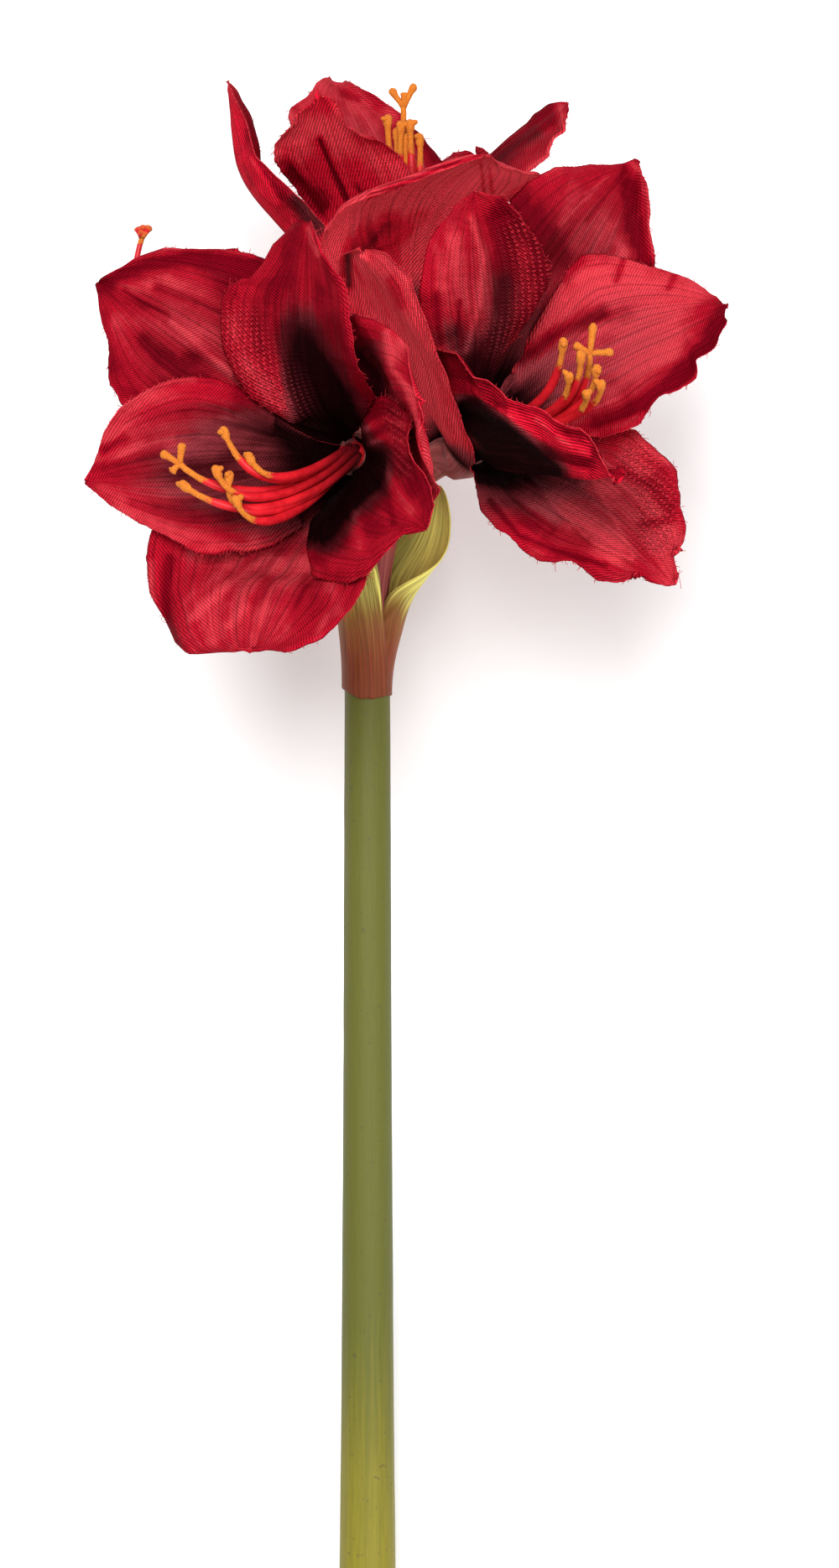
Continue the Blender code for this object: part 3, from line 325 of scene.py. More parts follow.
# Extra throat dye, partly painted shade where cloth turns from the light, in the photograph's pixels:
# strength, width, line
DYES_AND_PAINTED_SHADE = {
    "left_petal_1": [(0.5, 34, [(362, 400), (385, 470), (410, 530)]),
                     (-0.6, 24, [(280, 400), (300, 450), (330, 480)]),
                     (0.5, 22, [(376, 450), (394, 490), (412, 530)]), (-0.5, 22, [(300, 400), (320, 440)])],
    "left_petal_3": [(0.9, 24, [(428, 560), (398, 598), (388, 632)]),
                     (-0.5, 10, [(360, 665), (405, 690), (450, 665)]),
                     (-0.7, 18, [(450, 488), (480, 530), (500, 600)]), (-0.5, 16, [(440, 490), (452, 520)])],
    "right_petal_1": [(0.5, 22, [(600, 340), (590, 400), (570, 440)]), (-0.5, 18, [(540, 300), (545, 370)]),
                      (0.45, 20, [(540, 400), (560, 440)])],
    "right_petal_3": [(1.0, 24, [(565, 490), (600, 525), (640, 550)]),
                      (1.0, 17, [(560, 495), (590, 515), (618, 545)]),
                      (1.0, 14, [(565, 545), (610, 560), (660, 566)]), (-1.0, 14,
                                                                        [(530, 430), (600, 480),
                                                                         (720, 545)])],
    "right_petal_4": [(0.9, 16, [(575, 556), (620, 562), (680, 572)]), (0.35, 10, [(640, 590), (665, 620)])],
    "left_petal_6": [(0.5, 18, [(440, 420), (455, 480)])],
    "right_petal_6": [(0.5, 12, [(545, 540), (560, 552)]), (0.4, 5, [(415, 303), (416, 340)])],
    "top_petal_5": [(0.6, 14, [(358, 238), (376, 270)])],
    "top_petal_3": [(0.4, 10, [(600, 190), (640, 160)])],
}

# Margins of the petals traced on the photograph: for each side of a petal (1 and -1, and 0 for its midrib),
# places along its length with the pixel it runs through there
EDGES = {
    "left_petal_1": {
        -1: [(0.2, 422, 514), (0.3, 432, 500), (0.38, 439, 481), (0.45, 430, 464), (0.55, 421, 438),
            (0.65, 417, 400), (0.75, 413, 362), (0.85, 398, 328), (0.95, 374, 286), (1, 367, 265)],
        1: [(0.24, 348, 505), (0.32, 325, 493), (0.4, 300, 475), (0.48, 278, 448), (0.56, 264, 415),
            (0.63, 260, 385), (0.7, 263, 360), (0.75, 272, 341), (0.8, 290, 335), (0.85, 310, 313),
            (0.9, 322, 292), (0.96, 345, 270), (1, 364, 265)]},
    "left_petal_2": {
        -1: [(0.3, 325, 492), (0.4, 292, 469), (0.46, 278, 461), (0.52, 254, 451), (0.58, 230, 447),
            (0.64, 207, 451), (0.7, 185, 459), (0.76, 159, 473), (0.82, 143, 485), (0.88, 124, 515),
            (0.95, 111, 551), (1, 100, 573)],
        1: [(0.3, 361, 629), (0.38, 326, 651), (0.47, 290, 656), (0.55, 262, 659), (0.62, 235, 656),
            (0.7, 205, 645), (0.78, 176, 628), (0.86, 147, 611), (0.94, 118, 592), (1, 101, 577)]},
    "left_petal_3": {
        -1: [(0.15, 392, 596), (0.25, 368, 622), (0.35, 362, 650), (0.45, 364, 668), (0.55, 369, 686),
            (0.65, 388, 692), (0.75, 415, 694), (0.82, 433, 688), (0.88, 455, 658), (0.94, 480, 637),
            (1, 506, 632)],
        1: [(0.15, 432, 530), (0.25, 433, 500), (0.32, 443, 477), (0.38, 453, 474), (0.46, 470, 482),
            (0.54, 485, 494), (0.6, 486, 506), (0.66, 481, 522), (0.73, 484, 542), (0.8, 492, 562),
            (0.88, 502, 585), (0.94, 508, 602), (1, 507, 629)]},
    "left_petal_4": {
        -1: [(0.42, 345, 340), (0.53, 316, 305), (0.6, 294, 299), (0.68, 262, 294), (0.76, 225, 292),
            (0.84, 191, 293), (0.9, 162, 304), (0.95, 141, 317), (1, 118, 335)],
        1: [(0.58, 165, 505), (0.66, 141, 480), (0.72, 131, 458), (0.78, 129, 438), (0.86, 126, 406),
            (0.94, 118, 370), (1, 117, 339)]},
    "left_petal_5": {
        -1: [(0.45, 205, 612), (0.53, 180, 632), (0.62, 174, 665), (0.72, 176, 705), (0.8, 192, 738),
            (0.87, 204, 765), (0.93, 222, 779), (0.97, 258, 776), (1, 296, 772)],
        1: [(0.55, 440, 655), (0.65, 438, 680), (0.73, 434, 700), (0.8, 422, 727), (0.86, 404, 747),
            (0.91, 383, 761), (0.95, 354, 772), (0.98, 333, 777), (1, 303, 773)]},
    "left_petal_6": {
        -1: [(0.68, 509, 606), (0.75, 522, 586), (0.81, 508, 560), (0.86, 500, 543), (0.91, 495, 525),
            (0.96, 498, 500), (1, 498, 478)],
        1: [(0.35, 397, 439), (0.45, 403, 405), (0.55, 406, 385), (0.62, 415, 373), (0.7, 430, 379),
            (0.77, 445, 387), (0.84, 462, 395), (0.9, 478, 413), (0.95, 484, 440), (1, 495, 474)]},
    "right_petal_1": {
        -1: [(0.18, 575, 470), (0.28, 590, 432), (0.38, 608, 408), (0.47, 626, 388), (0.55, 639, 370),
            (0.63, 651, 346), (0.7, 656, 322), (0.76, 648, 300), (0.82, 636, 277), (0.88, 618, 251),
            (0.95, 600, 233), (1, 571, 227)],
        1: [(0.3, 532, 455), (0.42, 520, 425), (0.5, 512, 398), (0.58, 503, 372), (0.66, 499, 345),
            (0.73, 505, 315), (0.8, 513, 290), (0.86, 528, 266), (0.93, 540, 246), (1, 563, 229)]},
    "right_petal_2": {
        -1: [(0.28, 670, 515), (0.38, 712, 517), (0.47, 744, 511), (0.54, 763, 503), (0.6, 773, 486),
            (0.66, 786, 471), (0.72, 808, 463), (0.78, 828, 452), (0.82, 828, 428), (0.87, 849, 414),
            (0.92, 852, 398), (0.96, 860, 383), (1, 869, 366)],
        1: [(0.25, 608, 445), (0.34, 630, 404), (0.42, 648, 372), (0.48, 661, 347), (0.54, 676, 322),
            (0.6, 695, 304), (0.66, 722, 302), (0.72, 750, 307), (0.78, 783, 317), (0.84, 812, 329),
            (0.9, 836, 339), (0.95, 855, 350), (1, 868, 361)]},
    "right_petal_3": {
        -1: [(0.25, 516, 440), (0.32, 521, 415), (0.4, 537, 420), (0.46, 552, 423), (0.5, 559, 433),
            (0.54, 568, 450), (0.58, 583, 454), (0.62, 592, 464), (0.66, 600, 473), (0.7, 621, 478),
            (0.74, 638, 481), (0.78, 650, 488), (0.82, 660, 499), (0.86, 678, 507), (0.9, 694, 509),
            (0.93, 706, 519), (0.96, 713, 532), (0.98, 718, 545), (1, 732, 566)],
        0: [(0.15, 565, 528), (0.25, 577, 548), (0.35, 594, 558), (0.45, 614, 562), (0.55, 636, 563),
            (0.65, 657, 564), (0.75, 678, 567), (0.85, 700, 570), (1, 733, 567)],
        1: [(0.15, 600, 545), (0.3, 625, 520), (0.45, 652, 508), (0.6, 684, 516), (0.75, 707, 535),
            (0.88, 722, 552), (1, 735, 568)]},
    "right_petal_4": {
        -1: [(0.15, 564, 562), (0.22, 566, 583), (0.29, 573, 606), (0.36, 590, 631), (0.43, 611, 646),
            (0.5, 631, 662), (0.56, 645, 670), (0.62, 662, 672), (0.69, 680, 670), (0.75, 694, 677),
            (0.81, 712, 691), (0.86, 727, 692), (0.91, 747, 684), (0.95, 762, 684), (0.98, 777, 697),
            (1, 795, 700)],
        1: [(0.35, 718, 508), (0.44, 757, 510), (0.52, 773, 526), (0.59, 796, 550), (0.64, 805, 561),
            (0.71, 809, 587), (0.76, 809, 604), (0.82, 817, 628), (0.87, 814, 644), (0.91, 802, 657),
            (0.96, 807, 680), (1, 803, 695)]},
    "right_petal_5": {
        -1: [(0.65, 779, 312), (0.72, 777, 285), (0.8, 773, 252), (0.88, 769, 222), (0.95, 762, 202),
            (1, 754, 190)],
        1: [(0.55, 606, 240), (0.62, 620, 228), (0.69, 640, 213), (0.76, 664, 200), (0.83, 690, 198),
            (0.89, 714, 195), (0.94, 732, 196), (1, 750, 190)]},
    "right_petal_6": {
        -1: [(0.1, 498, 540), (0.18, 494, 508), (0.27, 488, 472), (0.36, 472, 440), (0.46, 448, 412),
            (0.56, 420, 388), (0.66, 407, 358), (0.76, 403, 336), (0.86, 405, 318), (0.93, 411, 303),
            (1, 429, 296)],
        1: [(0.1, 560, 560), (0.18, 566, 552), (0.27, 564, 535), (0.35, 555, 513), (0.44, 547, 481),
            (0.52, 536, 447), (0.6, 522, 415), (0.68, 511, 385), (0.76, 499, 350), (0.82, 490, 329),
            (0.88, 472, 315), (0.94, 459, 303), (1, 432, 296)]},
    "top_petal_1": {
        -1: [(0.33, 395, 280), (0.42, 370, 250), (0.5, 352, 225), (0.58, 337, 202), (0.66, 330, 186),
            (0.73, 328, 170), (0.79, 338, 159), (0.85, 351, 148), (0.9, 353, 137), (0.95, 372, 125),
            (1, 383, 112)],
        1: [(0.4, 500, 250), (0.5, 495, 212), (0.57, 486, 198), (0.63, 474, 182), (0.69, 460, 170),
            (0.75, 446, 161), (0.8, 432, 158), (0.85, 419, 148), (0.9, 410, 136), (0.95, 397, 118),
            (1, 387, 112)]},
    "top_petal_2": {
        -1: [(0.45, 525, 220), (0.55, 528, 190), (0.63, 507, 166), (0.7, 494, 150), (0.77, 476, 133),
            (0.84, 449, 115), (0.9, 431, 105), (0.95, 417, 95), (1, 405, 92)],
        1: [(0.6, 352, 175), (0.68, 346, 160), (0.75, 342, 141), (0.81, 346, 129), (0.87, 370, 114),
            (0.92, 380, 98), (0.96, 392, 93), (1, 402, 92)]},
    "top_petal_3": {
        -1: [(0.55, 600, 225), (0.66, 635, 203), (0.74, 657, 188), (0.8, 662, 166), (0.85, 673, 155),
            (0.9, 668, 142), (0.95, 670, 132), (1, 678, 123)],
        1: [(0.55, 540, 188), (0.65, 580, 183), (0.75, 605, 162), (0.83, 636, 148), (0.88, 637, 137),
            (0.94, 655, 127), (1, 676, 122)]},
    "top_petal_4": {
        -1: [(0.38, 396, 325), (0.47, 383, 300), (0.55, 386, 274), (0.62, 400, 255), (0.68, 415, 245),
            (0.75, 440, 232), (0.82, 480, 217), (0.9, 529, 196), (0.95, 552, 189), (1, 579, 184)],
        1: [(0.55, 628, 225), (0.65, 640, 212), (0.74, 641, 203), (0.82, 620, 206), (0.89, 606, 203),
            (0.95, 594, 196), (1, 583, 186)]},
    "top_petal_5": {
        1: [(0.35, 396, 288), (0.43, 386, 265), (0.52, 373, 239), (0.62, 349, 210), (0.72, 321, 185),
            (0.8, 308, 163), (0.88, 297, 138), (0.95, 284, 110), (1, 273, 97)]},
    "top_petal_6": {
        -1: [(0.8, 600, 200), (0.88, 590, 188), (0.95, 578, 182), (1, 564, 178)],
        1: [(0.7, 500, 205), (0.8, 520, 197), (0.87, 530, 190), (0.94, 544, 178), (1, 556, 177)]},
}
# Grabs: a place on a sheet in the photograph's pixels, how far it is moved there (right, down, and away from
# the camera) and the reach of the grab
GRABS = {
    "bract_back": [((470, 690), (-14, 0, 0), 40)],
    "top_petal_5": [((320, 205), (-16, 2, 0), 60)],
}
# Cloth stamped with a fine grid of dashes, in the photograph's pixels: width, line
GRIDS = {
    "left_petal_1": [(26, [(284, 392), (305, 440), (340, 478)])],
    "left_petal_3": [(10, [(470, 495), (482, 560)])],
    "right_petal_1": [(20, [(622, 280), (640, 330), (622, 385), (598, 400)])],
    "right_petal_4": [(22, [(758, 552), (785, 590), (780, 640)])],
}
# How soon and how steeply a petal's blade follows its drawn margins
EDGE_EASE = 0.14
EDGE_POWER = 1.4
# Loose threads along one margin of a petal
THREADS = 30
THREAD_RADIUS = 0.11 * MM
# Pitches of the cloth's ribs on its two faces, of its cross threads, and of its stamped cells (mm)
RIB_PITCH = {"outside": 1.25, "inside": 1.0}
CROSS_PITCH = 0.7
CELL_PITCH = (1.8, 2.8)
# Bracts: thickness, bend of the open leaf (degrees), and how far the lower rim rises on its two sides (mm)
LEAF_THICKNESS = 0.6 * MM
LEAF_BEND = 30
RIM_RISE = (4.6, 1.8)
# Stamens: ring on which the filaments stand, and the hub's profile as height over the throat and radius (mm)
FILAMENT_RING = 3.4
HUB = ((CUP_FLOOR + 0.4, 5.4), (CUP_FLOOR + 0.5, 6.1), (-5.6, 5.6), (-4.2, 3.4), (-2.4, 2.3), (-0.6, 2.8),
       (1.0, 2.6), (2.0, 1.6), (2.4, 0.4))
# Studio: side of the floor (m), and each light's place (m), size (m) and share of the key light's power
FLOOR_SIZE = 14.0
LIGHTS = {"key": ((-0.35, 0.45, 2.4), 1.6, 1.0), "side": ((1.1, -0.7, 2.0), 1.6, 0.45)}
LIGHTS_AIM = (0.0, 0.2, 0.1)


class AmaryllisSettings(bpy.types.PropertyGroup):
    """Sizes and colours of the flower that a user would change."""

    cloth: bpy.props.FloatProperty(name="Cloth", description="Thickness of a petal's cloth",
                                   default=0.45 * MM,
                                   unit="LENGTH", precision=5)
    rows: bpy.props.IntProperty(name="Rows", description="Quads along a petal", default=120)
    cols: bpy.props.IntProperty(name="Columns", description="Quads across a petal", default=76)
    bright: bpy.props.FloatVectorProperty(name="Bright Red", description="Dye at a petal's tip and margins",
                                          default=(0.37, 0.0045, 0.016), subtype="COLOR")
    # painted shade: the red of cloth that faces away from the light
    painted_shade_red: bpy.props.FloatVectorProperty(name="Deep Red", description="Cloth pressed away from the light",
                                        default=(0.17, 0.001, 0.007), subtype="COLOR")
    # painted highlight: the red of the satin sheen where cloth faces the light; also the stamped cells'
    # colour
    pale: bpy.props.FloatVectorProperty(name="Pale Red", description="Cloth rubbed to a satin shine",
                                        default=(0.62, 0.038, 0.054), subtype="COLOR")
    rose: bpy.props.FloatVectorProperty(name="Rose", description="Faded dye along a petal's middle",
                                        default=(0.29, 0.035, 0.045), subtype="COLOR")
    brown: bpy.props.FloatVectorProperty(name="Red Brown", description="Dye where the throat's stain ends",
                                         default=(0.06, 0.0035, 0.006), subtype="COLOR")
    throat: bpy.props.FloatVectorProperty(name="Throat", description="Dye in a bloom's throat",
                                          default=(0.006, 0.0006, 0.001), subtype="COLOR")
    filament: bpy.props.FloatVectorProperty(name="Filament", description="Colour of the moulded filaments",
                                            default=(0.62, 0.012, 0.020), subtype="COLOR")
    flock: bpy.props.FloatVectorProperty(name="Flock", description="Colour of the flocked stamen ends",
                                         default=(0.8, 0.22, 0.02), subtype="COLOR")
    stem_green: bpy.props.FloatVectorProperty(name="Stem Green", description="Upper colour of the stem",
                                              default=(0.10, 0.104, 0.0165), subtype="COLOR")
    stem_yellow: bpy.props.FloatVectorProperty(name="Stem Yellow", description="Lower colour of the stem",
                                               default=(0.225, 0.19, 0.018), subtype="COLOR")
    leaf: bpy.props.FloatVectorProperty(name="Bract Leaf", description="Colour of the open bract",
                                        default=(0.9, 0.82, 0.18), subtype="COLOR")
    collar: bpy.props.FloatVectorProperty(name="Collar", description="Colour of the bracts round the stem",
                                          default=(0.25, 0.044, 0.015), subtype="COLOR")
    stalk: bpy.props.FloatVectorProperty(name="Stalk", description="Colour of the bloom stalks",
                                         default=(0.32, 0.07, 0.065), subtype="COLOR")
    key: bpy.props.FloatProperty(name="Key Light", description="Power of the large soft light", default=72.0,
                                 unit="POWER")
    fill: bpy.props.FloatProperty(name="Fill Light", description="Strength of the pale surroundings",
                                  default=0.36)


def smooth(t):
    t = np.clip(t, 0, 1)
    return t * t * (3 - 2 * t)


def unit(v):
    v = np.asarray(v, float)
    return v / np.linalg.norm(v, axis=-1, keepdims=True)


def lattice_noise(x, y, seed):
    """Smooth noise from -1 to 1 with one bump to a unit."""
    def corner(i, j):
        mixed = (i * 374761393 + j * 668265263 + seed * 974711) & 0xFFFFFFFF
        mixed = ((mixed ^ (mixed >> 13)) * 1274126177) & 0xFFFFFFFF
        return ((mixed ^ (mixed >> 16)) & 0xFFFF) / 32767.5 - 1.0
    x, y = np.broadcast_arrays(np.asarray(x, float), np.asarray(y, float))
    i, j = np.floor(x).astype(np.int64), np.floor(y).astype(np.int64)
    u, v = smooth(x - i), smooth(y - j)
    low = corner(i, j) * (1 - u) + corner(i + 1, j) * u
    high = corner(i, j + 1) * (1 - u) + corner(i + 1, j + 1) * u
    return low * (1 - v) + high * v


def outline(s, widest, point):
    """Half width of a blade along its length, as a share of its widest."""
    rise = np.sin(np.pi / 2 * np.clip(s / widest, 0, 1)) ** 1.6
    fall = np.clip(1 - np.clip((s - widest) / (1 - widest), 0, 1) ** 2, 0, 1) ** point
    return rise * fall


def petal_surface(bloom, spec, rows=FINE_ROWS, cols=FINE_COLS):
    """Middle surface of one petal, as points on a (rows + 1, cols + 1) grid."""
    throat, axis = np.array(bloom["throat"], float), unit(bloom["axis"])
    tip = np.array(spec["tip"], float)
    radial = unit(tip - throat - axis * ((tip - throat) @ axis))
    across = np.cross(axis, radial)
    root = throat + SEAT * axis + RING[spec["ring"]] * radial
    start = math.radians(spec["start"])
    leave = math.cos(start) * axis + math.sin(start) * radial
    chord = tip - root
    reach = np.linalg.norm(chord)
    along = chord / reach
    outward = unit(along * (axis @ along) - axis)
    flare = math.radians(spec["flare"])
    arrive = math.cos(flare) * along + math.sin(flare) * outward
    knots = (root, root + spec["arch"] * reach * leave, tip - spec["back"] * reach * arrive, tip)
    t = np.linspace(0, 1, 201)[:, None]
    curve = bezier(knots, len(t)) + spec["bow"] * np.sin(np.pi * t) * across
    gone = np.concatenate([[0], np.cumsum(np.linalg.norm(np.diff(curve, axis=0), axis=1))])
    s = np.linspace(0, 1, rows + 1)
    mid = np.stack([np.interp(s * gone[-1], gone, curve[:, k]) for k in range(3)], 1)
    ahead = unit(np.gradient(mid, s, axis=0))
    side = unit(across - ahead * (ahead @ across)[:, None])
    inward = np.cross(ahead, side)
    roll = (math.radians(spec["roll"]) * smooth(s / 0.5))[:, None]
    side, inward = side * np.cos(roll) + inward * np.sin(roll), inward * np.cos(roll) - side * np.sin(roll)
    offset = mid - throat
    funnel = np.linalg.norm(offset - (offset @ axis)[:, None] * axis, axis=1)
    points = np.zeros((rows + 1, cols + 1, 3))
    lanes = np.linspace(-1, 1, cols + 1)
    blade = smooth(s / 0.45)
    fraction = np.linspace(0, 1, 49)
    share = spec.get("share", SHARE[spec["ring"]])
    for k, sign in enumerate((1, -1)):
        wide = spec["half"][k] * outline(s, spec["widest"][k], spec["point"][k])
        half = np.sqrt((spec["claw"] * (1 - smooth(s / 0.5))) ** 2 + wide**2)
        room = math.radians(share[k]) * funnel
        half = (np.maximum(half, 1.0) ** -6.0 + room**-6.0) ** (-1 / 6)
        bend = np.minimum(half / funnel, spec["wrap"]) * (1 - blade) + math.radians(spec["cup"][k]) * blade
        curl = math.radians(spec["curl"][k]) * blade
        angle = bend[:, None] * fraction + curl[:, None] * smooth((fraction - 0.5) / 0.5)
        step = (angle[:, 1:] + angle[:, :-1]) / 2
        out = np.concatenate([np.zeros((rows + 1, 1)), np.cumsum(np.cos(step), 1) / 48], 1) * half[:, None]
        up = np.concatenate([np.zeros((rows + 1, 1)), np.cumsum(np.sin(step), 1) / 48], 1) * half[:, None]
        swell = smooth((s - 0.2) / 0.3) * smooth((1.02 - s) / 0.15)
        wave = spec["ruffle"][k] * np.sin(2 * np.pi * (spec["waves"] * s + spec["phase"][k])) * swell
        for j in np.flatnonzero(sign * lanes > -1e-9):
            lane = abs(lanes[j])
            x = np.array([np.interp(lane, fraction, row) for row in out])
            z = np.array([np.interp(lane, fraction, row) for row in up]) + wave * lane**2.2
            points[:, j] = mid + sign * x[:, None] * side + z[:, None] * inward
    return points


def surface_normals(points):
    """Unit normals of a grid, on the side that faces the bloom's axis."""
    along = np.gradient(points, axis=0)
    across = np.gradient(points, axis=1)
    return unit(np.cross(along, across))


def grid_tree(points):
    rows, cols = points.shape[:2]
    index = np.arange(rows * cols).reshape(rows, cols)
    faces = np.stack([index[:-1, :-1], index[1:, :-1], index[1:, 1:], index[:-1, 1:]], -1).reshape(-1, 4)
    return BVHTree.FromPolygons([Vector(p) for p in points.reshape(-1, 3)], faces.tolist())


def coarse_grid(points):
    """The coarser grid that stands for a petal where petals are kept clear of each other."""
    return points[np.ix_(COARSE_ROWS, COARSE_COLS)]


def spread(shift, rounds):
    """Widens a field of shifts into a smooth swell."""
    size = shift
    for step in range(rounds):
        pad = np.pad(size, 1, mode="edge")
        blur = (pad[:-2, 1:-1] + pad[2:, 1:-1] + pad[1:-1, :-2] + pad[1:-1, 2:] + 4 * pad[1:-1, 1:-1]) / 8
        size = np.maximum(size, blur) if step < rounds - 8 else blur
    return 1.1 * size


def softened(field, rounds):
    """Evens out a field of directions over a grid."""
    for _ in range(rounds):
        pad = np.pad(field, ((1, 1), (1, 1), (0, 0)), mode="edge")
        field = (pad[:-2, 1:-1] + pad[2:, 1:-1] + pad[1:-1, :-2] + pad[1:-1, 2:] + 4 * field) / 8
    return unit(field)


def edge_points(points):
    """The coarse grid of a petal with two more points between each pair of its neighbours."""
    coarse = coarse_grid(points)
    for _ in range(2):
        count = len(coarse)
        at = np.linspace(0, count - 1, 3 * (count - 1) + 1)
        low = np.minimum(at.astype(int), count - 2)
        part = (at - low)[:, None, None]
        coarse = (coarse[low] * (1 - part) + coarse[low + 1] * part).transpose(1, 0, 2)
    return coarse.reshape(-1, 3)


def tuck(points, normals, others, outside):
    """Moves a petal behind (outside) or in front of other petals wherever it would cut through them."""
    way = 1.0 if outside else -1.0
    need = np.zeros(points.shape[:2])
    for i in range(2, points.shape[0]):
        for j in range(points.shape[1]):
            normal = normals[i, j] * way
            start = Vector(points[i, j] - TUCK_REACH * normal)
            for tree, _ in others:
                hit = tree.ray_cast(start, Vector(normal), TUCK_REACH + PETAL_GAP)
                if hit[0] is not None:
                    need[i, j] = max(need[i, j], TUCK_REACH + PETAL_GAP - hit[3])
    own = grid_tree(coarse_grid(points))
    for _, cloud in others:
        for point in cloud:
            near, _, index, distance = own.find_nearest(Vector(point), POKE_REACH)
            if near is None:
                continue
            row, col = divmod(index, len(COARSE_COLS) - 1)
            block = (slice(COARSE_ROWS[row], COARSE_ROWS[row + 1] + 1),
                     slice(COARSE_COLS[col], COARSE_COLS[col + 1] + 1))
            depth = (point - np.array(near)) @ unit(normals[block].mean((0, 1))) * way
            if abs(depth) > 0.8 * distance and depth < POKE_GAP:
                need[block] = np.maximum(need[block], POKE_GAP - depth)
    if not need.any():
        return points, normals
    ease = smooth(np.linspace(0, 1, points.shape[0]) / 0.12)[:, None]
    need = spread(np.minimum(need, TUCK_STEP), SPREAD_ROUNDS) * ease
    points = points - (way * need)[..., None] * softened(normals, SOFT_ROUNDS)
    return points, surface_normals(points)


def all_petals():
    """Every petal's middle surface by name, none of them cutting through another."""
    grown = {}
    for bloom_name, bloom in BLOOMS.items():
        same = []
        other = [(grid_tree(coarse_grid(p)), edge_points(p)) for p in grown.values()]
        for number, spec in enumerate(bloom["petals"], 1):
            points = fitted(petal_surface(bloom, {**PETAL, **spec}),
                            EDGES.get(f"{bloom_name}_petal_{number}", {}))
            normals = surface_normals(points)
            for _ in range(TUCK_ROUNDS):
                points, normals = tuck(points, normals, other, False)
                points, normals = tuck(points, normals, same, True)
            same.append((grid_tree(coarse_grid(points)), edge_points(points)))
            grown[f"{bloom_name}_petal_{number}"] = points
    return grown


def finer(points, rows, cols):
    """A grid of points read more finely along smooth curves through its own points."""
    for count in (rows, cols):
        old = len(points) - 1
        at = np.linspace(0, old, count + 1)
        low = np.minimum(at.astype(int), old - 1)
        t = (at - low)[:, None, None]
        a, b, c, d = (points[np.clip(low + k, 0, old)] for k in (-1, 0, 1, 2))
        points = 0.5 * (2 * b + (c - a) * t + (2 * a - 5 * b + 4 * c - d) * t**2
                        + (3 * b - a - 3 * c + d) * t**3)
        points = points.transpose(1, 0, 2)
    return points


def lay(points):
    """Stem frame in mm to the resting flower in metres."""
    turn = np.array(LYING.to_3x3())
    laid = np.asarray(points, float) * MM @ turn.T + np.array(LYING.translation)
    laid[..., 2] = np.maximum(laid[..., 2], FLOOR_GAP)
    return laid


def shaped_grid(name, points, maps, attributes):
    """A grid primitive bent to the given points (mm), with its own UV maps and point attributes."""
    rows, cols = points.shape[0] - 1, points.shape[1] - 1
    bpy.ops.object.select_all(action="DESELECT")
    bpy.ops.mesh.primitive_grid_add(x_subdivisions=cols, y_subdivisions=rows, size=1)
    obj = bpy.context.object
    obj.name = obj.data.name = name
    mesh = obj.data
    mesh.vertices.foreach_set("co", lay(points).reshape(-1))
    corner = np.zeros(len(mesh.loops), int)
    mesh.loops.foreach_get("vertex_index", corner)
    while mesh.uv_layers:
        mesh.uv_layers.remove(mesh.uv_layers[0])
    for title, values in maps.items():
        layer = mesh.uv_layers.new(name=title)
        layer.uv.foreach_set("vector", values.reshape(-1, 2)[corner].astype(np.float32).reshape(-1))
    for title, values in attributes.items():
        layer = mesh.attributes.new(title, "FLOAT", "POINT")
        layer.data.foreach_set("value", values.astype(np.float32).reshape(-1))
    mesh.update()
    mesh.shade_smooth()
    return obj


def pick(*objects):
    """Selects these objects alone and makes the first one active."""
    bpy.ops.object.select_all(action="DESELECT")
    for obj in objects:
        obj.select_set(True)
    bpy.context.view_layer.objects.active = objects[0]


def close_tube(obj):
    """Joins a rolled grid's seam and end poles, and points its faces outwards."""
    pick(obj)
    bpy.ops.object.mode_set(mode="EDIT")
    bpy.ops.mesh.select_all(action="SELECT")
    bpy.ops.mesh.remove_doubles(threshold=0.000001)
    bpy.ops.mesh.normals_make_consistent(inside=False)
    bpy.ops.object.mode_set(mode="OBJECT")
    return obj


def frames_along(path, start):
    """Two directions square to a path at each of its stations, carried along without twisting."""
    ahead = unit(np.gradient(path, axis=0))
    guess = np.asarray(start, float)
    first, second = [], []
    for way in ahead:
        guess = unit(guess - way * (guess @ way))
        first.append(guess)
        second.append(np.cross(way, guess))
    return np.array(first), np.array(second)


def rolled(name, path, radii, sides, start=(1.0, 0.02, 0.03), relief=None, dip=None):
    """A closed round piece: a grid rolled round a path (mm), its ends drawn in to points."""
    gone = np.concatenate([[0], np.cumsum(np.linalg.norm(np.diff(path, axis=0), axis=1))])
    first, second = frames_along(path, start)
    turn = np.linspace(0, 2 * np.pi, sides + 1)
    ring = np.cos(turn)[None, :, None] * first[:, None] + np.sin(turn)[None, :, None] * second[:, None]
    size = np.repeat(np.asarray(radii, float)[:, None], sides + 1, 1)
    if relief is not None:
        size = size + relief(gone[:, None], turn[None, :], size)
        size[:, -1] = size[:, 0]
    points = path[:, None] + ring * size[..., None]
    points = np.concatenate([np.repeat(path[:1], sides + 1, 0)[None], points,
                             np.repeat(path[-1:], sides + 1, 0)[None]])
    gone = np.concatenate([gone[:1], gone, gone[-1:]])
    share = gone / gone[-1]
    maps = {"blade": np.stack(np.broadcast_arrays(share[:, None], turn[None] / (2 * np.pi)), -1),
            "metres": np.stack(np.broadcast_arrays(gone[:, None] * MM, turn[None] * np.mean(radii) * MM), -1)}
    values = {"reach": np.repeat(share[:, None], sides + 1, 1)}
    if dip is not None:
        values["dip"] = np.repeat(np.concatenate([dip[:1], dip, dip[-1:]])[:, None], sides + 1, 1)
    return close_tube(shaped_grid(name, points, maps, values))


def bezier(knots, steps):
    t = np.linspace(0, 1, steps)[:, None]
    a, b, c, d = (np.array(k, float) for k in knots)
    return (1 - t) ** 3 * a + 3 * (1 - t) ** 2 * t * b + 3 * (1 - t) * t * t * c + t**3 * d


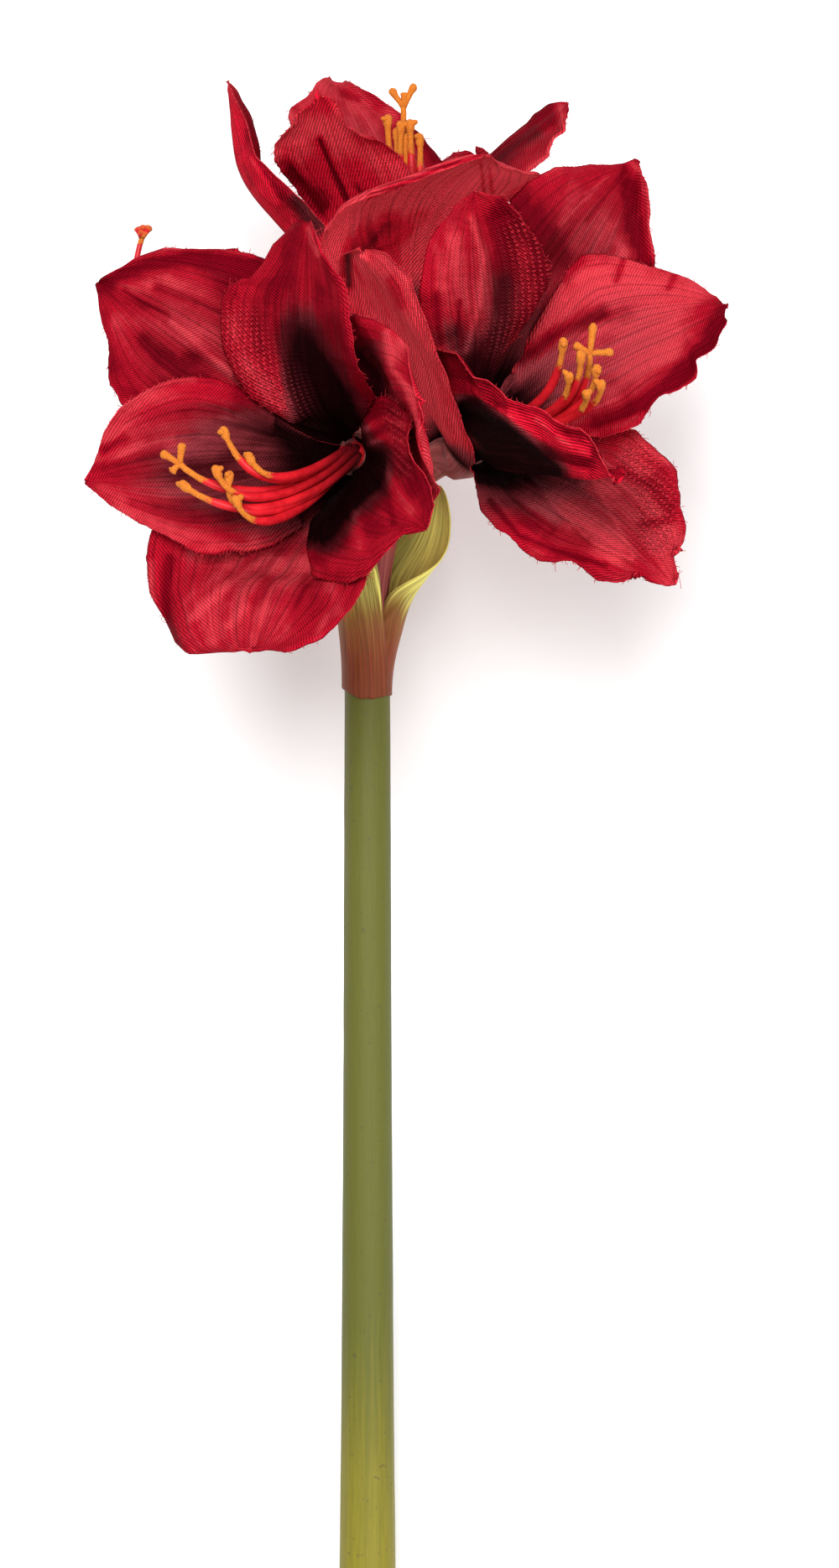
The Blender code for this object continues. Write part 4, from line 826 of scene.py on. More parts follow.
def merge(name, pieces):
    """Several closed shells made one object."""
    pick(*pieces)
    bpy.ops.object.join()
    pieces[0].name = pieces[0].data.name = name
    return pieces[0]


class Finish:
    """A material and short ways to add its nodes."""

    def __init__(self, name):
        self.material = bpy.data.materials.new(name)
        self.material.use_nodes = True
        self.nodes = self.material.node_tree.nodes
        self.links = self.material.node_tree.links
        self.shader = self.nodes["Principled BSDF"]

    def set(self, socket, value):
        """Fills a socket with another node's output or with a constant."""
        if isinstance(value, bpy.types.NodeSocket):
            self.links.new(value, socket)
        elif isinstance(value, tuple) and len(value) == 3 and socket.type == "RGBA":
            socket.default_value = (*value, 1.0)
        else:
            socket.default_value = value

    def principled(self, **values):
        for key, value in values.items():
            self.set(self.shader.inputs[key.replace("_", " ")], value)

    def uv(self, title):
        node = self.nodes.new("ShaderNodeUVMap")
        node.uv_map = title
        return node.outputs["UV"]

    def attribute(self, title):
        node = self.nodes.new("ShaderNodeAttribute")
        node.attribute_name = title
        return node.outputs["Fac"]

    def place(self):
        return self.nodes.new("ShaderNodeTexCoord").outputs["Object"]

    def math(self, operation, first, second=0.0, third=0.0, clamp=False):
        node = self.nodes.new("ShaderNodeMath")
        node.operation = operation
        node.use_clamp = clamp
        for socket, value in zip(node.inputs, (first, second, third)):
            self.set(socket, value)
        return node.outputs[0]

    def scaled(self, vector, factors, shift=(0.0, 0.0, 0.0), turn=0.0):
        node = self.nodes.new("ShaderNodeMapping")
        self.set(node.inputs["Vector"], vector)
        node.inputs["Scale"].default_value = factors
        node.inputs["Location"].default_value = shift
        node.inputs["Rotation"].default_value = (0.0, 0.0, turn)
        return node.outputs["Vector"]

    def noise(self, vector, scale, detail=2.0, rough=0.5, distortion=0.0):
        node = self.nodes.new("ShaderNodeTexNoise")
        self.set(node.inputs["Vector"], vector)
        node.inputs["Scale"].default_value = scale
        node.inputs["Detail"].default_value = detail
        node.inputs["Roughness"].default_value = rough
        node.inputs["Distortion"].default_value = distortion
        return node.outputs["Fac"]

    def wave(self, vector, pitch, distortion=0.0, detail=1.0, direction="X"):
        """Bands with a pitch in mm across a map in metres."""
        node = self.nodes.new("ShaderNodeTexWave")
        node.bands_direction = direction
        self.set(node.inputs["Vector"], vector)
        node.inputs["Scale"].default_value = math.pi / (10 * pitch * MM)
        node.inputs["Distortion"].default_value = distortion
        node.inputs["Detail"].default_value = detail
        node.inputs["Detail Scale"].default_value = 0.4
        return node.outputs["Fac"]

    def mix(self, share, first, second, blend="MIX"):
        node = self.nodes.new("ShaderNodeMix")
        node.data_type = "RGBA"
        node.blend_type = blend
        self.set(node.inputs["Factor"], share)
        self.set(node.inputs[6], first)
        self.set(node.inputs[7], second)
        return node.outputs[2]

    def grey(self, value):
        node = self.nodes.new("ShaderNodeCombineColor")
        for channel in ("Red", "Green", "Blue"):
            self.set(node.inputs[channel], value)
        return node.outputs["Color"]

    def ramp(self, share, stops):
        """Colour stops, each a place and a colour."""
        node = self.nodes.new("ShaderNodeValToRGB")
        self.set(node.inputs["Fac"], share)
        band = node.color_ramp
        while len(band.elements) < len(stops):
            band.elements.new(0.5)
        for element, (place, colour) in zip(band.elements, stops):
            element.position = place
            element.color = (*colour, 1.0)
        return node.outputs["Color"]

    def span(self, value, low, high, to_low=0.0, to_high=1.0):
        """Maps one range of a value onto another, clamped and eased."""
        node = self.nodes.new("ShaderNodeMapRange")
        node.interpolation_type = "SMOOTHSTEP"
        self.set(node.inputs["Value"], value)
        node.inputs["From Min"].default_value = low
        node.inputs["From Max"].default_value = high
        node.inputs["To Min"].default_value = to_low
        node.inputs["To Max"].default_value = to_high
        return node.outputs["Result"]

    def bump(self, height, distance, normal=None):
        node = self.nodes.new("ShaderNodeBump")
        self.set(node.inputs["Height"], height)
        node.inputs["Distance"].default_value = distance
        if normal is not None:
            self.set(node.inputs["Normal"], normal)
        return node.outputs["Normal"]


def petal_finish(name, settings, outside):
    """Dyed twill: dark in the throat, veined along the blade, coarse ribs on its outer face, with painted
    shade and painted sheen over it along folds and crushed places.
    """
    f = Finish(name)
    blade, cloth = f.uv("blade"), f.uv("metres")
    streaks = f.noise(f.scaled(blade, (2.2, 22.0, 1.0)), 1.0, 5.0, 0.66, 0.6)
    veins = f.noise(f.scaled(blade, (1.2, 62.0, 1.0), (3.1, 0.7, 0.0)), 1.0, 3.0, 0.6, 0.3)
    blotch = f.noise(cloth, 90.0, 5.0, 0.68)
    speck = f.noise(cloth, 1300.0, 2.0, 0.6)
    centred = lambda value, share: f.math("MULTIPLY", f.math("SUBTRACT", value, 0.5), share)
    # throat dye, with painted shade where the dye strokes mark cloth turned from the light
    stain = f.math("ADD", f.attribute("back" if outside else "stain"),
                   centred(streaks, 0.3 if outside else 0.85))
    stain = f.math("ADD", stain, centred(blotch, 0.15 if outside else 0.35), clamp=True)
    bright, painted_shade_red, pale, rose, brown, throat = (tuple(c) for c in (
        settings.bright, settings.painted_shade_red, settings.pale, settings.rose, settings.brown, settings.throat))
    # painted light: fold strokes, petal tone and random crush set how far the cloth is painted towards shade
    # and towards highlight
    crush = f.math("ADD", f.attribute("crush"), centred(streaks, 1.3))
    crush = f.math("ADD", crush, centred(blotch, 1.3))
    if outside:
        bright, pale = tuple(1.8 * c for c in bright), tuple(1.4 * c for c in pale)
    # painted shade (deep red) through the dye (bright red) to painted satin highlight (pale red), by the
    # crush value
    dyed_and_painted = f.mix(f.span(crush, 0.0, 0.9), f.mix(f.span(crush, -0.9, 0.0), painted_shade_red, bright), pale)
    faded_and_painted = f.mix(f.span(crush, -0.8, 0.8), brown, rose)
    colour = f.mix(f.span(stain, 0.0, 0.5), dyed_and_painted, faded_and_painted)
    colour = f.mix(f.span(stain, 0.42, 0.98), colour, throat)
    fade = f.math("MULTIPLY", f.attribute("fade"),
                  f.span(streaks, 0.3, 0.7, 0.0 if outside else 0.5, 0.3 if outside else 1.0))
    colour = f.mix(fade, colour, faded_and_painted)
    colour = f.mix(1.0, colour, f.grey(f.span(veins, 0.36, 0.52, 0.62, 1.0)), "MULTIPLY")
    turn = math.radians(62 if outside else 38)
    ribs = f.wave(f.scaled(cloth, (1.0, 1.0, 1.0), turn=turn), RIB_PITCH["outside" if outside else "inside"],
                  1.4, 2.0)
    threads = f.wave(f.scaled(cloth, (1.0, 1.0, 1.0), turn=turn + math.pi / 2), CROSS_PITCH, 1.0)
    weave = f.math("ADD", f.math("MULTIPLY", ribs, 0.7), f.math("MULTIPLY", threads, 0.3))
    cells = f.math("MULTIPLY", f.wave(cloth, CELL_PITCH[0], 0.8),
                   f.wave(cloth, CELL_PITCH[1], 1.4, direction="Y"))
    stamped = f.math("MULTIPLY", f.span(cells, 0.12, 0.6), f.attribute("grid"))
    grain = f.math("ADD", weave, centred(speck, 0.9))
    colour = f.mix(1.0, colour, f.grey(f.span(grain, 0.0, 1.0, 0.4 if outside else 0.52, 1.32)), "MULTIPLY")
    colour = f.mix(f.math("MULTIPLY", stamped, 0.3), colour, f.mix(f.span(stain, 0.0, 0.6), pale, rose))
    colour = f.mix(f.math("MULTIPLY", f.math("SUBTRACT", f.attribute("grid"), stamped), 0.3), colour, brown)
    pucker = f.noise(f.scaled(cloth, (420.0, 110.0, 1.0)), 1.0, 3.0, 0.6, 0.4)
    normal = f.bump(pucker, 0.0009)
    normal = f.bump(stamped, 0.0005, normal)
    normal = f.bump(weave, 0.00055 if outside else 0.00035, normal)
    f.principled(Base_Color=colour, Roughness=0.6, Normal=normal, Specular_IOR_Level=0.01)
    return f.material


def rim_finish(settings):
    """Cut edge of the cloth, where bare bright threads show, with a painted highlight along the lit margins.
    """
    f = Finish("petal_cut_edge")
    grain = f.noise(f.uv("metres"), 900.0, 2.0)
    bright = tuple(settings.bright)
    colour = f.ramp(grain, [(0.3, tuple(0.55 * c for c in bright)), (0.7, (0.62, 0.035, 0.05))])
    f.principled(Base_Color=colour, Roughness=0.9, Specular_IOR_Level=0.03)
    return f.material


def filament_finish(settings):
    """Red moulded plastic whose end is dipped in orange flock, with painted shade darkening it towards the
    throat.
    """
    f = Finish("filament_plastic")
    place = f.place()
    ragged = f.math("ADD", f.attribute("dip"), f.math("MULTIPLY",
                                                      f.math("SUBTRACT", f.noise(place, 500.0, 3.0),
                                                             0.5), 0.35))
    dipped = f.span(ragged, 0.45, 0.58)
    grain = f.noise(place, 2600.0, 3.0, 0.7)
    flock = tuple(settings.flock)
    orange = f.ramp(grain, [(0.3, (0.50, 0.075, 0.008)), (0.5, flock), (0.72, (0.92, 0.40, 0.05))])
    red = f.ramp(f.noise(place, 130.0, 3.0, 0.6), [(0.35, (0.42, 0.006, 0.012)),
                                                   (0.65, tuple(settings.filament))])
    # painted shade: darker towards the root, where the filaments sink into the throat's shadow
    red = f.mix(f.span(f.attribute("reach"), 0.0, 0.5), (0.10, 0.003, 0.006), red)
    f.principled(Base_Color=f.mix(dipped, red, orange), Roughness=f.span(dipped, 0.0, 1.0, 0.36, 0.95),
                 Normal=f.bump(f.math("MULTIPLY", grain, dipped), 0.0009), Subsurface_Weight=0.06,
                 Subsurface_Radius=(0.003, 0.001, 0.0006), Specular_IOR_Level=0.3)
    return f.material


def stem_finish(settings):
    """Matt moulded green that turns yellow towards the cut, with faint streaks and specks."""
    f = Finish("stem_plastic")
    place = f.place()
    blade = f.uv("blade")
    streak = f.noise(f.scaled(blade, (6.0, 26.0, 1.0)), 1.0, 4.0, 0.6)
    green, yellow = tuple(settings.stem_green), tuple(settings.stem_yellow)
    low = f.span(f.math("ADD", f.attribute("reach"), f.math("MULTIPLY", f.math("SUBTRACT", streak, 0.5),
                                                            0.3)),
                 0.12, 0.42)
    colour = f.mix(low, yellow, green)
    speck = f.noise(place, 420.0, 1.0)
    colour = f.mix(f.span(speck, 0.70, 0.74, 0.0, 0.5), colour, (0.07, 0.06, 0.03))
    fine = f.noise(f.scaled(blade, (30.0, 60.0, 1.0)), 1.0, 3.0, 0.6)
    colour = f.mix(f.span(fine, 0.3, 0.7, 0.0, 0.16), colour, tuple(0.55 * c for c in green))
    f.principled(Base_Color=colour, Roughness=0.55, Normal=f.bump(fine, 0.00015), Specular_IOR_Level=0.2)
    return f.material


def bract_finish(settings):
    """Leaf printed yellow-green, reddish brown on the collar, with fine upright streaks, and painted shade
    and painted highlight along its folds.
    """
    f = Finish("bract_leaf")
    blade = f.uv("blade")
    streak = f.noise(f.scaled(blade, (2.0, 26.0, 1.0)), 1.0, 4.0, 0.65)
    fine = f.noise(f.scaled(blade, (3.0, 85.0, 1.0)), 1.0, 2.0, 0.6)
    height = f.math("ADD", f.attribute("reach"), f.math("MULTIPLY", f.math("SUBTRACT", streak, 0.5), 0.3))
    leaf, collar = tuple(settings.leaf), tuple(settings.collar)
    # painted shade (half the leaf colour) and painted highlight (brighter leaf), set by the crush value
    shade = f.mix(f.span(f.attribute("crush"), 0.0, 1.0),
                  f.mix(f.span(f.attribute("crush"), -1.0, 0.0), tuple(0.5 * c for c in leaf), leaf),
                  tuple(min(1.0, 1.15 * c) for c in leaf))
    colour = f.ramp(height, [(0.0, tuple(0.8 * c for c in collar)), (0.16, collar),
                             (0.30, (0.30, 0.10, 0.03)),
                             (0.42, (0.32, 0.20, 0.03))])
    colour = f.mix(f.span(height, 0.34, 0.52), colour, shade)
    colour = f.mix(f.span(fine, 0.3, 0.62, 0.62, 0.0), colour, (0.12, 0.06, 0.012))
    colour = f.mix(1.0, colour, f.grey(f.span(streak, 0.3, 0.7, 0.72, 1.12)), "MULTIPLY")
    f.principled(Base_Color=colour, Roughness=0.5, Normal=f.bump(fine, 0.0003), Specular_IOR_Level=0.15)
    return f.material


def stalk_finish(settings):
    """Satin brown-purple plastic with paler ribs."""
    f = Finish("stalk_plastic")
    blade = f.uv("blade")
    rib = f.noise(f.scaled(blade, (1.5, 18.0, 1.0)), 1.0, 3.0, 0.6)
    colour = f.ramp(rib, [(0.3, tuple(0.5 * c for c in settings.stalk)), (0.55, tuple(settings.stalk)),
                          (0.75, (0.42, 0.14, 0.12))])
    f.principled(Base_Color=colour, Roughness=0.5, Normal=f.bump(rib, 0.0003), Specular_IOR_Level=0.15)
    return f.material


def wire_finish():
    f = Finish("core_wire")
    drawn = f.noise(f.scaled(f.place(), (3000.0, 3000.0, 60.0)), 1.0, 2.0)
    f.principled(Base_Color=(0.5, 0.49, 0.47), Metallic=1.0, Roughness=0.36, Normal=f.bump(drawn, 0.0001))
    return f.material


def relief(s, lane, along, across, inset, seed):
    """How far the pressed cloth stands off its smooth blade (mm), towards the bloom's axis."""
    body = smooth((s - 0.12) / 0.18)
    tip = 1 - smooth((s - 0.86) / 0.14)
    width = abs(lane)
    side = np.sign(lane)
    rise = -0.7 * np.exp(-((across / 1.7) ** 2)) * body * tip
    rise += 0.12 * np.sin(2 * np.pi * (lane * 5.5 + 0.4 * lattice_noise(s * 3, lane * 2, seed))) * body * tip
    rise += 2.0 * lattice_noise(along / 26, across / 15, seed + 1) * body * smooth(width / 0.6)
    rise += 0.5 * lattice_noise(along / 5.5, across / 11, seed + 2) * body * smooth((width - 0.25) / 0.5)
    rise += 1.5 * lattice_noise(along / 10, side * 7.3, seed + 3) * body * smooth((width - 0.55) / 0.45) ** 2
    roll = 1.3 + 1.3 * lattice_noise(along / 22, side * 4.4, seed + 4)
    rise -= roll * np.clip(1 - inset / 3.2, 0, 1) ** 2 * body
    return rise


def petal_piece(name, points, spec, settings, finishes, seed):
    """One petal: its pressed cloth, with its dye and its painted light and shade, made solid."""
    rows, cols = settings.rows, settings.cols
    points = grabbed(fitted(finer(points, rows, cols), EDGES.get(name, {})), GRABS.get(name, ()))
    normals = surface_normals(points)
    s = np.linspace(0, 1, rows + 1)[:, None] * np.ones((1, cols + 1))
    lane = np.linspace(-1, 1, cols + 1)[None] * np.ones((rows + 1, 1))
    steps = np.linalg.norm(np.diff(points, axis=0), axis=2)
    along = np.concatenate([np.zeros((1, cols + 1)), np.cumsum(steps, 0)])
    along = np.repeat(along[:, cols // 2][:, None], cols + 1, 1)
    steps = np.linalg.norm(np.diff(points, axis=1), axis=2)
    across = np.concatenate([np.zeros((rows + 1, 1)), np.cumsum(steps, 1)], 1)
    across = across - across[:, cols // 2][:, None]
    inset = np.minimum(across[:, -1:] - across, across - across[:, :1])
    points = points + relief(s, lane, along, across, inset, seed)[..., None] * normals
    # painted light and shade: the petal's tone plus random crush, then the fold strokes below
    crush = spec["painted_tone"] + 0.55 * lattice_noise(along / 30, across / 12,
                                                seed + 8) + 0.35 * lattice_noise(along / 12, across / 5,
                                                                                 seed + 9)
    flat = points.copy()
    # each fold dents the cloth and lays painted shade or painted highlight along its line, by the sign of its
    # tone
    for painted_tone, reach, height, line in FOLD_SHAPES_AND_PAINTED_LIGHT.get(name, ()):
        near = near_line(flat, line, reach)
        crush = crush * (1 - 0.5 * near) + painted_tone * near
        points[..., 1] -= height * near
    ragged = lattice_noise(along / 11, np.sign(lane) * 2.2, seed + 7) * 1.1
    ragged += lattice_noise(along / 1.6, np.sign(lane) * 3.1, seed + 5) * 0.28
    ragged += lattice_noise(along / 0.7, np.sign(lane) * 5.7, seed + 6) * 0.16
    edge = smooth((abs(lane) - 0.9) / 0.1) * smooth(s / 0.2)
    sideways = unit(np.gradient(points, axis=1)) * np.sign(lane)[..., None]
    points = points + (ragged * edge)[..., None] * sideways
    width = abs(lane)
    bound = spec["dark"] * (1 - spec["narrow"] * width**1.4)
    stain = smooth((bound - s) / 0.42 + 0.5)
    back = smooth((0.10 - s) / 0.2 + 0.5)
    # throat dye strokes, partly painted shade where the cloth turns from the light
    for strength, reach, line in DYES_AND_PAINTED_SHADE.get(name, ()):
        near = strength * near_line(flat, line, reach)
        stain, back = np.clip(stain + near, 0, 1), np.clip(back + near, 0, 1)
    grid = sum((near_line(flat, line, reach) for reach, line in GRIDS.get(name, ())), np.zeros_like(s))
    fade = (spec["rose"] * smooth((s - 0.2) / 0.25) * (1 - smooth((s - 0.62) / 0.3))
            * (1 - smooth((width - 0.25) / 0.6)))
    maps = {"blade": np.stack([s, (lane + 1) / 2], -1), "metres": np.stack([along, across], -1) * MM}
    obj = shaped_grid(f"{name}_cloth", points, maps, {
        "stain": stain, "fade": fade, "back": back, "crush": np.clip(crush, -1,
                                                                     1), "grid": np.clip(1.6 * grid, 0, 1)})
    for finish in finishes:
        obj.data.materials.append(finish)
    solid = obj.modifiers.new("cloth", "SOLIDIFY")
    solid.thickness = settings.cloth
    solid.offset = 0.0
    solid.material_offset = 1
    solid.material_offset_rim = 2
    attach(obj, "root")
    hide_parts(name)
    threads_piece(name, frays(points, normals, seed), finishes[2])


def bract_surface(spec, rows=90, cols=64):
    """Middle surface of one bract: half a collar round the stem that opens into a leaf."""
    facing = math.radians(spec["turn"])
    radial = np.array([math.sin(facing), -math.cos(facing), 0.0])
    across = np.cross((0.0, 0.0, 1.0), radial)
    root = np.array([0.0, 0.0, COLLAR_BOTTOM])
    tip = np.array(spec["tip"], float)
    s = np.linspace(0, 1, rows + 1)
    radius = spec["radius"]
    start = root + radius * radial
    height = tip[2] - COLLAR_BOTTOM
    mid = bezier((start, start + (0, 0, 0.42 * height), tip - (0, 0, 0.45 * height), tip), rows + 1)
    ahead = unit(np.gradient(mid, axis=0))
    side = unit(across - ahead * (ahead @ across)[:, None])
    inward = np.cross(ahead, side)
    points = np.zeros((rows + 1, cols + 1, 3))
    open_up = smooth((s - spec["opens"]) / 0.5)
    for j, lane in enumerate(np.linspace(-1, 1, cols + 1)):
        wide = spec["half"][0 if lane > 0 else 1]
        half = radius * math.radians(spec["wrap"][0 if lane > 0 else 1]) * (1 - open_up) + wide * open_up
        half = half * np.clip(1 - np.clip((s - 0.55) / 0.45, 0, 1) ** 2, 0.01, 1) ** 0.6
        bend = (half / radius) * (1 - open_up) + math.radians(LEAF_BEND) * open_up
        angle = bend * abs(lane)
        x = half / bend * np.sin(angle) * np.sign(lane)
        z = half / bend * (1 - np.cos(angle))
        points[:, j] = mid + x[:, None] * side + z[:, None] * inward
    around = np.arctan2(points[0, :, 0], -points[0, :, 1])
    rim = np.where(around < 0, *RIM_RISE) * np.sin(around) ** 2 + 0.3 * lattice_noise(around * 5, 0.0, 61)
    points[..., 2] += (1 - smooth(s / 0.3))[:, None] * rim
    return points


def stalk_piece(name, bloom, finish):
    """Stalk of one bloom, swelling into the cup that holds its petals."""
    axis, throat = unit(bloom["axis"]), np.array(bloom["throat"], float)
    x, y = PEDICEL_START[name]
    low = np.array([x, y, STEM_TOP + 0.4])
    lean = np.array(NECK_LEAN.get(name, (0, 0, 0)))
    neck = throat + NECK * axis + lean
    lead = neck - PEDICEL_LEAD[name] * axis + np.array(PEDICEL_BEND.get(name, (0, 0, 0)))
    path = bezier((low, low + np.array([0.0, 0.0, 36.0]), lead, neck), 60)
    grow = smooth((np.linspace(0, 1, 60) - 0.25) / 0.75)
    radii = PEDICEL_RADIUS + (NECK_RADIUS + NECK_SWELL.get(name, 0.0) - PEDICEL_RADIUS) * grow
    inside = CUP_RADIUS - CUP_WALL
    cup = [(-16.5, 5.8 + NECK_SWELL.get(name, 0.0)), (-15.3, 6.9 + 0.5 * NECK_SWELL.get(name, 0.0)),
           (-13.5, 8.6), (-12.0, 9.8), (-10.3, 10.5), (CUP_RIM, CUP_RADIUS),
           (CUP_RIM, inside), (CUP_FLOOR, inside)]
    path = np.concatenate([path, [throat + h * axis + lean * smooth((CUP_FLOOR - h) / 6) for h, _ in cup]])
    radii = np.concatenate([radii, [r for _, r in cup]])
    ribs = lambda gone, turn, size: 0.22 * np.cos(3 * turn) * smooth(gone / 6) * (size < 9)
    obj = rolled(f"{name}_stalk", path, radii, 28, relief=ribs)
    obj.data.materials.append(finish)
    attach(obj, "root")
    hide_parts(f"{name}_pedicel")


def strand(name, path, radii, sides, seed, dip):
    """One moulded strand whose flocked end is rough."""
    def rough(gone, turn, size):
        flock = smooth((dip[:, None] - 0.5) / 0.1)
        coarse, fine = lattice_noise(gone / 0.6, turn * 1.9, seed), lattice_noise(gone / 0.3, turn * 4, seed)
        return flock * (0.2 * coarse + 0.12 * fine)
    return rolled(name, path, radii, sides, relief=rough, dip=dip)


def pixels_per_mm(depth):
    return PHOTO_SCALE * PHOTO_DISTANCE / (PHOTO_DISTANCE + depth)


def seen(place, depth):
    """The point at a depth (mm) that the camera sees at a pixel of the photograph."""
    scale = pixels_per_mm(depth)
    return np.array([(place[0] - PHOTO_MIDDLE[0]) / scale + PHOTO_CENTRE[0], depth,
                     (PHOTO_MIDDLE[1] - place[1]) / scale + PHOTO_CENTRE[1]])


def pixels(points):
    """Where the camera sees points, in the photograph's pixels."""
    scale = pixels_per_mm(points[..., 1])
    return (PHOTO_MIDDLE[0] + scale * (points[..., 0] - PHOTO_CENTRE[0]),
            PHOTO_MIDDLE[1] - scale * (points[..., 2] - PHOTO_CENTRE[1]))


def near_line(points, line, width):
    """How near a sheet's points are to a line drawn on the photograph, from 0 to 1."""
    x, y = pixels(points)
    best = np.full(x.shape, 1e9)
    for (ax, ay), (bx, by) in zip(line[:-1], line[1:]):
        run = (bx - ax) ** 2 + (by - ay) ** 2
        t = np.clip(((x - ax) * (bx - ax) + (y - ay) * (by - ay)) / run, 0, 1)
        best = np.minimum(best, (x - ax - t * (bx - ax)) ** 2 + (y - ay - t * (by - ay)) ** 2)
    return np.exp(-best / width**2)


def grabbed(points, grabs):
    """Moves a sheet's points near each grab."""
    for place, move, reach in grabs:
        x, y = pixels(points)
        near = np.exp(-((x - place[0]) ** 2 + (y - place[1]) ** 2) / reach**2)[..., None]
        points = points + near * np.array([move[0], move[2], -move[1]]) / PHOTO_SCALE
    return points


def fitted(points, edges):
    """Draws a petal's two margins out to the lines traced for them."""
    rows, cols = points.shape[0] - 1, points.shape[1] - 1
    s = np.linspace(0, 1, rows + 1)
    lane = np.linspace(-1, 1, cols + 1)
    shift = np.zeros_like(points)
    for side, marks in edges.items():
        at, right, down = (np.array(column, float) for column in zip(*marks))
        margin = points[:, {-1: 0, 0: cols // 2, 1: cols}[side]]
        x, y = pixels(margin)
        hold = smooth((s - at[0] + EDGE_EASE) / EDGE_EASE)
        scale = pixels_per_mm(margin[:, 1])
        move = np.stack([np.interp(s, at, right) - x, np.zeros_like(x), y - np.interp(s, at, down)], -1)
        move = move * (hold / scale)[:, None]
        share = np.clip(side * lane, 0, 1) ** EDGE_POWER if side else 1 - np.abs(lane)
        shift = shift + share[None, :, None] * move[:, None]
    return points + shift


def stamens_piece(name, bloom, finish):
    """Hub, filaments and three-armed style of one bloom."""
    axis, throat = unit(bloom["axis"]), np.array(bloom["throat"], float)
    plan = STAMENS[name]
    depth = plan["depth"]
    around = unit(np.cross(axis, (0.3, 0.2, 0.9)))
    above = np.cross(around, axis)
    hub = np.array([throat + h * axis for h, _ in HUB])
    pieces = [rolled(f"{name}_hub", hub, [r for _, r in HUB], 24, dip=np.zeros(len(HUB)))]
    for number, (first, second, end) in enumerate(plan["strands"] + [plan["style"]]):
        turn = 2 * math.pi * number / 6
        root = throat + (SEAT + 0.6) * axis
        if number < 6:
            root = root + FILAMENT_RING * (math.cos(turn) * around + math.sin(turn) * above)
        low = depth + 3.0 * math.sin(2.3 * number)
        end = seen(end, low)
        depths = [throat[1] + share * (depth - throat[1]) + 2.0 * math.cos(turn) for share in plan["lead"]]
        path = bezier((root, seen(first, depths[0]), seen(second, depths[1]), end), 52)
        rise = unit(path[-1] - path[-5])
        steps = np.linalg.norm(np.diff(path, axis=0), axis=1)
        tail = np.concatenate([np.cumsum(steps[::-1])[::-1], [0.0]])
        radii = 1.2 + 0.7 * smooth((tail - 7) / 13)
        dip = 1 - tail / (2 * plan["dip"])
        if number < 6:
            radii = radii + 0.7 * smooth((3.6 - tail) / 1.6)
            bend = unit(rise + 0.7 * math.sin(4.1 * number) * around + 0.4 * math.cos(3.0 * number) * above)
            path = np.concatenate([path, end + bend * np.array([[0.9], [1.7], [2.3]])])
            radii, dip = np.concatenate([radii, [1.75, 1.35, 0.6]]), np.concatenate([dip, [1, 1, 1]])
            pieces.append(strand(f"{name}_strand_{number}", path, radii, 14, number, dip))
            heel = unit(np.cross(rise, around) * math.cos(2.0 * number) + around * math.sin(2.0 * number))
            lobe = np.array([end + k * (heel + 0.25 * rise) for k in (-0.8, 0.4, 1.5, 2.5, 3.2)])
            pieces.append(strand(f"{name}_lobe_{number}", lobe, [0.8, 1.4, 1.35, 1.1, 0.5], 12, number + 20,
                                 np.ones(5)))
        else:
            pieces.append(strand(f"{name}_style", path, radii + 0.05, 14, number, dip))
            tips = np.full(6, plan.get("arm_dip", 1.0))
            for k, arm in enumerate(plan["arms"]):
                arm = seen(arm, low - 1.0)
                way = arm - end
                line = np.array([end - 0.6 * rise, end + 0.35 * way, end + 0.7 * way, end + 0.9 * way,
                                 arm, arm + 0.12 * way])
                pieces.append(strand(f"{name}_arm_{k}", line, [1.0, 1.25, 1.4, 1.8, 1.7, 0.8], 12, k + 40,
                                     tips))
    obj = merge(f"{name}_stamens_moulded", pieces)
    obj.data.materials.clear()
    obj.data.materials.append(finish)
    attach(obj, "root")
    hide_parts(f"{name}_stamens")


def threads_piece(name, margins, finish):
    """Loose threads along a petal's cut margins: fine bevelled curves."""
    curve = bpy.data.curves.new(f"{name}_frays", "CURVE")
    curve.dimensions = "3D"
    curve.bevel_depth = THREAD_RADIUS
    curve.bevel_resolution = 0
    curve.use_fill_caps = True
    obj = bpy.data.objects.new(f"{name}_frays", curve)
    bpy.context.scene.collection.objects.link(obj)
    for line in margins:
        spline = curve.splines.new("POLY")
        spline.points.add(len(line) - 1)
        for point, place in zip(spline.points, lay(line)):
            point.co = (*place, 1.0)
    pick(obj)
    bpy.ops.object.convert(target="MESH")
    obj = bpy.context.object
    obj.data.materials.append(finish)
    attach(obj, "root")
    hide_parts(name)


def frays(points, normals, seed):
    """Lines of the threads that stand out of a petal's two margins (mm)."""
    draw = np.random.default_rng(seed)
    rows, cols = points.shape[0] - 1, points.shape[1] - 1
    lines = []
    for edge, inner in ((0, 2), (cols, cols - 2)):
        places = np.sort(draw.uniform(0.3, 0.985, THREADS))
        for place in places:
            row = int(place * rows)
            out = unit(points[row, edge] - points[row, inner])
            along = unit(points[min(row + 1, rows), edge] - points[row - 1, edge])
            length = draw.uniform(0.6, 2.2) + (draw.uniform() > 0.9) * draw.uniform(1.0, 2.5)
            lean, lift = draw.uniform(-0.9, 0.9), draw.uniform(-0.4, 0.4)
            start = points[row, edge] - 0.5 * out
            way = unit(out + lean * along + lift * normals[row, edge])
            curl = along * draw.uniform(-0.5, 0.5)
            lines.append([start + t * (length + 0.5) * (way + t * curl) for t in (0.0, 0.35, 0.7, 1.0)])
    return lines


